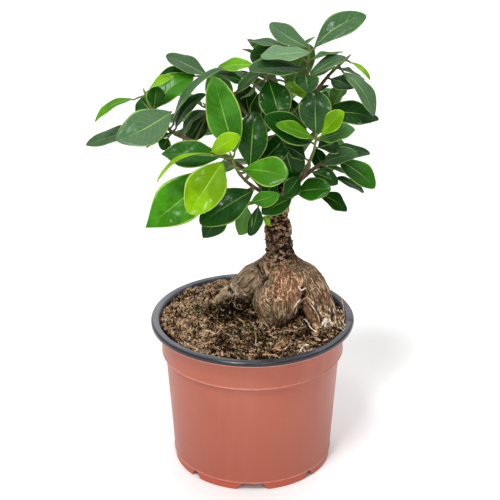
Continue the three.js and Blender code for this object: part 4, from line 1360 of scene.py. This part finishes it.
STRAW_STRANDS = [
    Strand([(299, 353), (302, 348), (306, 345), (312, 346)], 1.2, 0.5, 1.0),
    Strand([(273, 351), (279, 346), (287, 343)], 1.0, 0.35, 0.5, 6),
    Strand([(276, 346), (281, 342), (287, 346)], 1.6, 0.3, 0.62, 4),
    Strand([(274, 345), (279, 350), (285, 350)], 1.3, 0.3, 0.55, 4),
    Strand([(262, 355), (270, 355), (279, 357)], 0.8, 0.35, 0.7, 3),
    Strand([(255, 330), (256, 339), (255, 347)], 1.0, 0.25, 0.8),
    Strand([(225, 333), (232, 336), (241, 336)], 0.6, 0.35, 0.8),
    Strand([(196, 334), (204, 333), (212, 336)], 0.8, 0.4, 0.7, 3),
    Strand([(201, 331), (208, 331), (214, 334)], 1.0, 0.3, 0.95, 3),
    Strand([(185, 342), (192, 347), (199, 350)], 0.6, 0.4, 0.75),
    Strand([(196, 299), (205, 297), (214, 291)], 0.8, 0.4, 0.7),
    Strand([(196, 299), (205, 303), (214, 308)], 0.8, 0.35, 0.75),
    Strand([(284, 350), (289, 345), (293, 341)], 0.8, 0.35, 0.95),
    Strand([(236, 317), (242, 321), (246, 327)], 0.8, 0.35, 0.75),
    Strand([(316, 338), (322, 341), (328, 339)], 0.8, 0.35, 0.8, 3),
    Strand([(176, 318), (183, 322), (188, 327)], 0.8, 0.35, 0.8),
    Strand([(204, 287), (211, 284), (218, 280)], 1.0, 0.32, 0.72),
    Strand([(210, 287), (216, 284), (222, 280)], 1.2, 0.32, 0.7),
    Strand([(184, 299), (192, 297), (200, 298)], 0.8, 0.35, 0.8),
]
STRAND_SIDES = 8
STRAND_SPAN_STEPS = 5
FRAYED_LEFT, FRAYED_RIGHT = (314, 308), (343, 313)
FRAYED_COUNT = 130


def seen_on(place, surfaces, stand):
    """The point on the first surface behind a place of the picture, standing off it by some millimetres."""
    ray = unit(sight(*place))
    hits = [tree.ray_cast(Vector(EYE), Vector(ray)) for tree in surfaces]
    distances = [hit[3] for hit in hits if hit[0] is not None]
    return EYE + ray * (min(distances) - stand)


def surface_tree(piece):
    points, _ = mesh_arrays(piece.data)
    faces = [tuple(face.vertices) for face in piece.data.polygons]
    return BVHTree.FromPolygons([tuple(point) for point in points.tolist()], faces)


def add_strand(body, strand, surfaces):
    count = len(strand.path)
    stands = 0.3 * strand.radius + strand.stand * np.sin(math.pi * np.arange(count) / (count - 1))
    points = [
        seen(place) if len(place) == 3 else seen_on(place, surfaces, stand)
        for place, stand in zip(strand.path, stands)
    ]
    steps = STRAND_SPAN_STEPS * (count - 1)
    line = np.array([curve_point(points, k / steps) for k in range(steps + 1)])
    radii = strand.radius * (0.45 + 0.55 * np.sin(np.pi * np.linspace(0.08, 0.92, steps + 1)) ** 0.5)

    def flattened(share, angle):
        crumple = 1 + 0.2 * math.sin(17 * share + 40 * strand.radius)
        return math.hypot(strand.width * crumple * math.cos(angle), math.sin(angle))

    points, faces, along = swept(line, radii, STRAND_SIDES, flattened)
    body.add(points, faces, shade=np.clip(strand.shade + 0.07 * np.sin(9 * along), 0, 1))


def frayed_strands(draw):
    """Loose fibres that hang over the broken root on the right, each a short drooping path."""
    for _ in range(FRAYED_COUNT):
        share = next(draw)
        x, y = (mixed(share, left, right) for left, right in zip(FRAYED_LEFT, FRAYED_RIGHT))
        x += drawn(draw, -1.5, 1.5)
        y += drawn(draw, -4.8, 7.2)
        drop = drawn(draw, 4, 12)
        drift = drawn(draw, -2.1, 3.9)
        path = [(x, y), (x + 0.2 * drift, y + 0.4 * drop), (x + drift, y + drop)]
        shade = drawn(draw, 0.2, 1.1)
        stand = drawn(draw, 0.4, 1.6)
        yield Strand(path, stand, 0.15 + 0.3 * next(draw) ** 2, shade)


def make_thin_roots(*grounds):
    surfaces = [surface_tree(ground) for ground in grounds]
    draw = lehmer(SEED + 2)
    for name, strands, slot in (
        ("thin_roots", [*ROOT_STRANDS, *frayed_strands(draw)], "bark"),
        ("stray_straws", STRAW_STRANDS, "peat"),
    ):
        body = Body("shade")
        for strand in strands:
            add_strand(body, strand, surfaces)
        piece = placed(name, body.mesh(name, ROOT))
        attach(piece, "root")


# Scattered bits, made in geometry nodes on a copy of the ground, only where it is bare
CRUMBS = {
    "peat_crumbs": {"Per square millimetre": 0.87, "Size": 0.88, "Seed": 11},
    "peat_lumps": {"Per square millimetre": 0.12, "Size": 1.6, "Seed": 12},
}
FIBRES = {
    "peat_fibres": {"Per square millimetre": 0.32, "Length": 3.8, "Radius": 0.2, "Curl": 3.2, "Seed": 21},
    "bark_fibres": {"Per square millimetre": 0.016, "Length": 9.0, "Radius": 0.24, "Curl": 5.0, "Seed": 22},
}
FULL_TURN = 6.28
CRUMB_TURNS = (0.0, 0.0, 0.0), (FULL_TURN, FULL_TURN, FULL_TURN)
CRUMB_SCALES = (0.4, 0.2, 0.12), (2.3, 0.6, 0.42)
FIBRE_TILT = 0.45
FIBRE_TURNS = (-FIBRE_TILT, -FIBRE_TILT, 0.0), (FIBRE_TILT, FIBRE_TILT, FULL_TURN)
FIBRE_SCALES = (0.35, 0.35, 0.35), (1.2, 1.2, 1.2)
SOCKETS = {float: "NodeSocketFloat", int: "NodeSocketInt"}


def grown_tree(name, inputs, material, build):
    """A geometry tree with named inputs. build(board, sockets) gives the bits, which take the material."""
    tree = bpy.data.node_groups.new(name, "GeometryNodeTree")
    tree.interface.new_socket("Geometry", in_out="INPUT", socket_type="NodeSocketGeometry")
    for label, value in inputs.items():
        socket = tree.interface.new_socket(label, in_out="INPUT", socket_type=SOCKETS[type(value)])
        socket.default_value = value
    tree.interface.new_socket("Geometry", in_out="OUTPUT", socket_type="NodeSocketGeometry")
    board = Board(tree)
    entry = board.add("NodeGroupInput")
    bits = build(board, entry.outputs)
    bits = board.add("GeometryNodeSetMaterial", {"Geometry": bits, "Material": material}).outputs[0]
    board.add("NodeGroupOutput", {0: bits})
    return tree


def random_value(board, low, high, seed):
    """A random number for each bit, or a random vector where the ends are vectors. The node keeps a socket
    for either kind, so the first end and the result are found by their index."""
    kind, first, output = ("FLOAT_VECTOR", 0, 0) if isinstance(low, tuple) else ("FLOAT", 2, 1)
    inputs = {first: low, first + 1: high, "Seed": seed}
    return board.add("FunctionNodeRandomValue", inputs, data_type=kind).outputs[output]


def strewn(board, sockets, shape, turns, scales, seed):
    """The shape on random points of the ground, each turned, sized and shaded at random, made real."""
    bare = board.add("GeometryNodeInputNamedAttribute", {"Name": "bare"}, data_type="FLOAT").outputs[0]
    density = board.times(board.times(sockets["Per square millimetre"], 1 / MM**2), bare)
    points = board.add(
        "GeometryNodeDistributePointsOnFaces",
        {"Mesh": sockets["Geometry"], "Density": density, "Seed": sockets["Seed"]},
    ).outputs[0]
    turn = random_value(board, *turns, seed)
    scale = random_value(board, *scales, seed + 1)
    bits = board.add(
        "GeometryNodeInstanceOnPoints",
        {"Points": points, "Instance": shape, "Rotation": turn, "Scale": scale},
    ).outputs[0]
    shaded = board.add(
        "GeometryNodeStoreNamedAttribute",
        {"Geometry": bits, "Name": "shade", "Value": random_value(board, 0.0, 1.0, seed + 2)},
        data_type="FLOAT",
        domain="INSTANCE",
    ).outputs[0]
    return board.add("GeometryNodeRealizeInstances", {"Geometry": shaded}).outputs[0]


def crumpled(board, geometry, scale, reach):
    """The geometry with each of its points pushed aside by noise."""
    place = board.add("GeometryNodeInputPosition").outputs[0]
    wobble = board.add("ShaderNodeTexNoise", {"Vector": place, "Scale": scale, "Detail": 2.0}).outputs[1]
    middle = (0.5, 0.5, 0.5)
    shift = board.add("ShaderNodeVectorMath", {0: wobble, 1: middle}, operation="SUBTRACT").outputs[0]
    push = board.add("ShaderNodeVectorMath", {0: shift, "Scale": reach}, operation="SCALE").outputs[0]
    return board.add("GeometryNodeSetPosition", {"Geometry": geometry, "Offset": push}).outputs[0]


def crumb_bits(board, sockets):
    """Small flattened lumps."""
    size = board.times(sockets["Size"], MM)
    lump = board.add("GeometryNodeMeshIcoSphere", {"Radius": size, "Subdivisions": 1}).outputs[0]
    return crumpled(board, strewn(board, sockets, lump, CRUMB_TURNS, CRUMB_SCALES, 3), 900.0, size)


def fibre_bits(board, sockets):
    """Short curled fibres with three sides."""
    half = board.times(sockets["Length"], 0.5 * MM)
    start = board.add("ShaderNodeCombineXYZ", {0: board.times(half, -1.0)}).outputs[0]
    aside, up = board.times(half, 0.7), board.times(half, 0.35)
    middle = board.add("ShaderNodeCombineXYZ", {1: aside, 2: up}).outputs[0]
    end = board.add("ShaderNodeCombineXYZ", {0: half}).outputs[0]
    arc = board.add(
        "GeometryNodeCurveQuadraticBezier", {"Resolution": 7, "Start": start, "Middle": middle, "End": end}
    ).outputs[0]
    curves = strewn(board, sockets, arc, FIBRE_TURNS, FIBRE_SCALES, 6)
    curves = crumpled(board, curves, 260.0, board.times(sockets["Curl"], MM))
    radius = board.times(sockets["Radius"], MM)
    profile = board.add("GeometryNodeCurvePrimitiveCircle", {"Resolution": 3, "Radius": radius}).outputs[0]
    return board.add(
        "GeometryNodeCurveToMesh", {"Curve": curves, "Profile Curve": profile, "Fill Caps": True}
    ).outputs[0]


def scatter(name, ground, tree, inputs):
    """A piece of bits scattered on a copy of the ground, with the ground itself left out."""
    piece = placed(name, ground.data.copy())
    modifier = piece.modifiers.new("scatter", "NODES")
    modifier.node_group = tree
    for item in tree.interface.items_tree:
        if item.name in inputs:
            modifier[item.identifier] = inputs[item.name]
    finished(piece)
    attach(piece, "root")
    return piece


# Soil, heaped in mounds, each with its place, height and reach
MOUNDS = [((-9, 9), 7.5, 10), ((-24, 24), 1.5, 16), ((30, -8), 2, 9)]
BARE_MARGIN = 0.3
BITS_MARGIN = 0.4
# The peat is paler on the left, from one x to the other, and darker beside the roots
PALER_RIGHT, PALER_LEFT = -10, -38
DARKER_PLACE, DARKER_REACH = (-13, 7), 17


def soil_top(radius):
    """The level of the soil round a ring, without its mounds."""
    angle = 2 * np.pi * np.arange(SOIL_SEGMENTS) / SOIL_SEGMENTS
    share = radius / (COLLAR_TOP_RADIUS - WALL)
    lumps = np.sin(5 * angle + 9 * share) * np.sin(13 * share) + 0.6 * np.sin(11 * angle - 7 * share)
    return SOIL_EDGE_LEVEL + SOIL_DOME * (1 - share**2) + SOIL_RELIEF * lumps * share


def far_from(points, place):
    """How far points are from an upright line."""
    return np.hypot(points[:, 0] - place[0], points[:, 1] - place[1])


def make_soil():
    top_radius = np.interp(SOIL_EDGE_LEVEL + SOIL_EDGE_RISE, LINING_LEVELS, LINING_RADII) - SOIL_GAP
    bottom = FOOT_HEIGHT + FLOOR_THICKNESS + 0.3
    sides = [
        (BODY_FOOT_RADIUS - WALL - SOIL_GAP, bottom),
        (BODY_TOP_RADIUS - WALL - SOIL_GAP, RIDGE_LEVEL),
        (COLLAR_TOP_RADIUS - WALL - SOIL_GAP, LINING_LEVELS[0]),
    ]
    rings = [ring(radius, level, SOIL_SEGMENTS) for radius, level in sides]
    for k in range(SOIL_RINGS, 0, -1):
        radius = top_radius * k / SOIL_RINGS
        points = ring(radius, soil_top(radius), SOIL_SEGMENTS)
        rise = 1.3 * point_noise(points, 0.15) + 1.1 * point_noise(points, 0.4)
        for place, height, reach in MOUNDS:
            rise += height * np.exp(-((far_from(points, place) / reach) ** 2))
        rise += SOIL_EDGE_RISE * smooth_step(k, SOIL_RINGS // 2, SOIL_RINGS - 4)
        points[:, 2] += rise
        rings.append(points)
    rings.append(np.array([[0, 0, bottom], [0, 0, rings[-1][:, 2].mean()]]))
    points = np.concatenate(rings)
    bare = (points[:, 2] > LINING_LEVELS[0]) & (far_from(points, (0, 0)) < top_radius - BARE_MARGIN)
    body = Body("bare")
    body.add(points, ring_faces(len(rings) - 1, SOIL_SEGMENTS), bare=bare.astype(float))
    piece = placed("soil_bed", body.mesh("soil_bed", PEAT))
    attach(piece, "root")
    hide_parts("soil")
    return piece


def inside_pot(mesh):
    """Draws the bits in from the pot's wall, where a scattered one would reach through it."""
    points, _ = mesh_arrays(mesh)
    most = np.interp(points[:, 2], LINING_LEVELS, LINING_RADII) - BITS_MARGIN
    points[:, :2] *= np.minimum(1, most / np.maximum(far_from(points, (0, 0)), 1e-6))[:, None]
    set_points(mesh, points)


def weather(mesh):
    """Makes crumbs mossy in patches, paler on the left, and darker and mossier beside the roots."""
    points, _ = mesh_arrays(mesh)
    away = far_from(points, DARKER_PLACE) + 4 * point_noise(points, 0.15)
    rootside = smooth_step(away, DARKER_REACH, DARKER_REACH / 3)
    patches = point_noise(points, 0.07) + 1.1 * point_noise(points, 0.6) + 0.35 * rootside
    set_values(mesh, "moss", 0.75 * smooth_step(patches, 0.45, 0.7))
    set_values(mesh, "dry", smooth_step(points[:, 0], PALER_RIGHT, PALER_LEFT) - 1.2 * rootside)


def cover_soil(bed):
    crumbs = grown_tree("crumbs", CRUMBS["peat_crumbs"], CRUMB, crumb_bits)
    fibres = grown_tree("fibres", FIBRES["peat_fibres"], FIBRE, fibre_bits)
    for name, inputs in CRUMBS.items():
        bits = scatter(name, bed, crumbs, inputs)
        inside_pot(bits.data)
        weather(bits.data)
    for name, inputs in FIBRES.items():
        inside_pot(scatter(name, bed, fibres, inputs).data)


# Pot
LIP_ROUND = 1.5
INSIDE_ROUND = 1.3
INSIDE_ROUND_DEPTH = 3.6
NOTCH_TOP = FOOT_HEIGHT - 0.9
NOTCH_REACH = (FOOT_RADIUS / 2, FOOT_RADIUS + 3)
DRAIN_SIDES = 24
DRAIN_LEVELS = (FOOT_HEIGHT - 2, FOOT_HEIGHT + FLOOR_THICKNESS + 2)
SPLIT_FOOT, SPLIT_TOP = POT_HEIGHT - 2.2, POT_HEIGHT + 1
SPLIT_REACH = (LIP_RADIUS - 4, LIP_RADIUS + 2)
# A sharper edge than this stays hard under smooth shading
HARD_EDGE = math.radians(35)


def pot_profile():
    """The pot's section as (radius, level, how pale its edge is from rubbing and painted highlight), from
    under the foot, up, over the lip and back inside.
    """
    lip_underside = POT_HEIGHT - LIP_DROP
    round_radius, round_level = LIP_RADIUS - LIP_ROUND, POT_HEIGHT - LIP_ROUND
    round_lip = [
        (round_radius + LIP_ROUND * math.cos(a), round_level + LIP_ROUND * math.sin(a), 0)
        for a in np.radians(np.arange(0, 91, 15))
    ]
    inside_radius, inside_level = LIP_RADIUS - INSIDE_ROUND_DEPTH, POT_HEIGHT - INSIDE_ROUND
    round_inside = [
        (inside_radius - INSIDE_ROUND * math.sin(a), inside_level + INSIDE_ROUND * math.cos(a), 0)
        for a in np.radians(np.arange(10, 71, 15))
    ]
    outside = [
        (FOOT_RADIUS - FOOT_THICKNESS, FOOT_HEIGHT, 0),
        (FOOT_RADIUS - FOOT_THICKNESS, 0.3, 0),
        (FOOT_RADIUS - FOOT_THICKNESS + 0.3, 0, 0),
        (FOOT_RADIUS - 0.3, 0, 0),
        (FOOT_RADIUS, 0.3, 0),
        (FOOT_RADIUS, FOOT_HEIGHT - 0.7, 0),
        (FOOT_RADIUS + 0.05, FOOT_HEIGHT - 0.3, 0),
        (BODY_FOOT_RADIUS + 0.3, FOOT_HEIGHT - 0.1, 0.3),
        (BODY_FOOT_RADIUS + 0.45, FOOT_HEIGHT + 0.2, 0.5),
        (BODY_FOOT_RADIUS + 0.3, FOOT_HEIGHT + 0.6, 0.1),
        (BODY_FOOT_RADIUS + 0.15, FOOT_HEIGHT + 1.2, 0),
        (BODY_FOOT_RADIUS + 0.5, FOOT_HEIGHT + 7, 0),
        (BODY_TOP_RADIUS - 0.3, RIDGE_LEVEL - 7, 0),
        (BODY_TOP_RADIUS - 0.05, RIDGE_LEVEL - 1.9, 0),
        (BODY_TOP_RADIUS, RIDGE_LEVEL - 1.0, 0),
        (BODY_TOP_RADIUS + 0.2, RIDGE_LEVEL - 0.55, 0),
        (COLLAR_FOOT_RADIUS + 0.1, RIDGE_LEVEL - 0.5, 0),
        (COLLAR_FOOT_RADIUS + 0.4, RIDGE_LEVEL - 0.25, 0.25),
        (COLLAR_FOOT_RADIUS + 0.35, RIDGE_LEVEL + 0.1, 0.45),
        (COLLAR_FOOT_RADIUS + 0.1, RIDGE_LEVEL + 0.4, 0.1),
        (COLLAR_FOOT_RADIUS + 0.1, RIDGE_LEVEL + 1.5, 0),
        (COLLAR_TOP_RADIUS - 0.15, lip_underside - 4, 0),
        (COLLAR_TOP_RADIUS, lip_underside - 0.8, 0),
        (COLLAR_TOP_RADIUS + 0.8, lip_underside - 0.1, 0),
        (LIP_RADIUS - 0.9, lip_underside - 0.1, 0),
        (LIP_RADIUS - 0.4, lip_underside - 0.1, 0.9),
        (LIP_RADIUS - 0.1, lip_underside + 0.15, 0.9),
        (LIP_RADIUS - 0.15, lip_underside + 0.4, 0),
    ]
    inside = [
        (COLLAR_TOP_RADIUS - WALL + 0.5, lip_underside, 0),
        (COLLAR_TOP_RADIUS - WALL, lip_underside - 1.5, 0),
        (BODY_TOP_RADIUS - WALL, RIDGE_LEVEL, 0),
        (BODY_FOOT_RADIUS - WALL, FOOT_HEIGHT + FLOOR_THICKNESS, 0),
    ]
    return outside + round_lip + round_inside + inside, len(outside)


def turned(points, angle):
    """Points turned about the pot's axis."""
    cos, sin = math.cos(angle), math.sin(angle)
    return np.array(points) @ np.array([[cos, sin, 0], [-sin, cos, 0], [0, 0, 1]])


def cutter(name, near, far, kind=0):
    """A bar from one outline to the same outline elsewhere."""
    count = len(near)
    faces = [tuple(range(count)), tuple(range(2 * count - 1, count - 1, -1))]
    faces += [(i, i + count, (i + 1) % count + count, (i + 1) % count) for i in range(count)]
    body = Body()
    body.add([*near, *far], faces, kind)
    piece = placed(name, body.mesh(name, TERRACOTTA, CHARCOAL))
    shape = bmesh.new()
    shape.from_mesh(piece.data)
    bmesh.ops.recalc_face_normals(shape, faces=shape.faces)
    shape.to_mesh(piece.data)
    shape.free()
    return piece


def slot_cutter(name, low_width, top_width, levels, reach, angle, kind=0):
    """A tapered slot that runs outwards, turned about the pot's axis from the front."""
    low, top = levels
    outline = [(-low_width / 2, low), (low_width / 2, low), (top_width / 2, top), (-top_width / 2, top)]
    near, far = (turned([(x, -away, z) for x, z in outline], angle) for away in reach)
    return cutter(name, near, far, kind)


def drain_cutter(name, angle):
    """A round hole in the floor."""
    middle = DRAIN_CIRCLE * np.array([math.sin(angle), -math.cos(angle), 0])
    low, top = (ring(DRAIN_RADIUS, level, DRAIN_SIDES) + middle for level in DRAIN_LEVELS)
    return cutter(name, low, top)


def pot_cutters():
    for k in range(NOTCH_PAIRS):
        angle = 2 * math.pi * k / NOTCH_PAIRS
        between = angle + math.pi / NOTCH_PAIRS
        yield slot_cutter(f"wide_notch_{k}", *WIDE_NOTCH, (-1, NOTCH_TOP), NOTCH_REACH, angle)
        yield slot_cutter(f"narrow_notch_{k}", *NARROW_NOTCH, (-1, NOTCH_TOP), NOTCH_REACH, between)
        yield drain_cutter(f"drain_{k}", angle)
    yield slot_cutter("lip_split", *LIP_SPLIT, (SPLIT_FOOT, SPLIT_TOP), SPLIT_REACH, SPLIT_ANGLE, 1)


def lathed_pot():
    """The pot's section turned about its axis, its lining charcoal from the rolled lip on."""
    profile, outside_count = pot_profile()
    rings = [ring(radius, level, POT_SEGMENTS) for radius, level, _ in profile]
    rings.append(np.array([[0, 0, FOOT_HEIGHT], [0, 0, FOOT_HEIGHT + FLOOR_THICKNESS]]))
    faces = ring_faces(len(profile), POT_SEGMENTS)
    worn = np.repeat([rubbed_and_highlit for _, _, rubbed_and_highlit in profile], POT_SEGMENTS)
    body = Body("worn")
    body.add(np.concatenate(rings), faces, worn=[*worn, 0, 0])
    lined_from = (outside_count - 1) * POT_SEGMENTS
    under_foot = len(profile) * POT_SEGMENTS
    body.kinds = [int(min(face) >= lined_from and max(face) != under_foot) for face in faces]
    return placed("pot_shell", body.mesh("pot_shell", TERRACOTTA, CHARCOAL))


def make_pot():
    piece = lathed_pot()
    cutters = list(pot_cutters())
    for tool in cutters:
        cut = piece.modifiers.new(tool.name, "BOOLEAN")
        cut.operation = "DIFFERENCE"
        cut.solver = "EXACT"
        cut.object = tool
    finished(piece)
    for tool in cutters:
        bpy.data.objects.remove(tool)
    # The thin pot is a little out of round, more so towards its lip
    points, _ = mesh_arrays(piece.data)
    angle = np.arctan2(points[:, 1], points[:, 0])
    give = 0.004 * np.sin(2 * angle + 0.6) + 0.0025 * np.sin(5 * angle + 2)
    points[:, :2] *= 1 + (smooth_step(points[:, 2], 20, POT_HEIGHT) * give)[:, None]
    set_points(piece.data, points)
    piece.data.polygons.foreach_set("use_smooth", [True] * len(piece.data.polygons))
    piece.data.set_sharp_from_angle(angle=HARD_EDGE)
    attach(piece, "root")
    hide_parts("pot")
    return piece


# Studio: a dim sky with a bright horizon, a bright panel behind, and soft suns, each with the way it shines,
# how wide it looks in degrees, and its strength
SKY = 0.15
HORIZON_TOP = 0.12
PANEL = 1.1
PANEL_FROM, PANEL_FULL = 0.6, 0.95
BACK_PANEL = (0.0, 0.86, 0.5)
SUNS = {
    "key": ((0.28, 0.5, -1.0), 16, 1.8),
    "front_left": ((0.34, 0.80, -0.48), 6, 0.5),
    "front_right": ((-0.20, 0.80, -0.62), 6, 0.5),
    "top": ((-0.1, -0.2, -1.0), 75, 1.6),
}
SENSOR_WIDTH = 36
FLOOR_REACH = 6
FLOOR_COLOR = (0.88, 0.88, 0.88)


def make_camera():
    data = bpy.data.cameras.new("camera")
    data.sensor_width = SENSOR_WIDTH
    data.lens = SENSOR_WIDTH * PICTURE_SCALE / PICTURE_SIZE
    data.shift_x = (PICTURE_MIDDLE - PICTURE_AXIS) / PICTURE_SIZE
    camera = placed("camera", data)
    camera.location = Vector((EYE + POT_AXIS) * MM)
    camera.rotation_euler = (math.pi / 2 - PITCH, 0, 0)
    bpy.context.scene.camera = camera


def sun_light(name, heading, spread, strength):
    data = bpy.data.lights.new(name, "SUN")
    data.angle = math.radians(spread)
    data.energy = strength
    light = placed(name, data)
    light.rotation_euler = Vector(heading).to_track_quat("-Z", "Y").to_euler()


def make_sky():
    world = bpy.data.worlds.new("studio")
    world.use_nodes = True
    board = Board(world.node_tree)
    background = world.node_tree.nodes["Background"]
    heading = board.add("ShaderNodeTexCoord").outputs["Generated"]
    facing = board.add("ShaderNodeVectorMath", {0: heading, 1: BACK_PANEL}, operation="DOT_PRODUCT")
    panel = board.span(facing.outputs["Value"], PANEL_FROM, PANEL_FULL, SKY, PANEL)
    horizon = board.span(board.parts(heading)[2], HORIZON_TOP / 2, HORIZON_TOP, 1.0, SKY)
    board.feed(background.inputs["Color"], (1, 1, 1))
    board.feed(background.inputs["Strength"], board.math("MAXIMUM", panel, horizon))
    bpy.context.scene.world = world


def make_studio():
    make_sky()
    for name, (heading, spread, strength) in SUNS.items():
        sun_light(name, heading, spread, strength)
    far = FLOOR_REACH
    mesh = bpy.data.meshes.new("floor")
    mesh.from_pydata([(-far, -far, 0), (far, -far, 0), (far, far, 0), (-far, far, 0)], [], [(0, 1, 2, 3)])
    mesh.materials.append(surface("pale floor", lambda board: {}, Base_Color=FLOOR_COLOR, Roughness=1.0))
    floor = placed("floor", mesh)
    bpy.context.scene.view_settings.view_transform = "Standard"


make_camera()
make_studio()
pot_shell = make_pot()
soil_bed = make_soil()
cover_soil(soil_bed)
make_thin_roots(make_rootstock(), soil_bed, pot_shell)
leafy_stems()
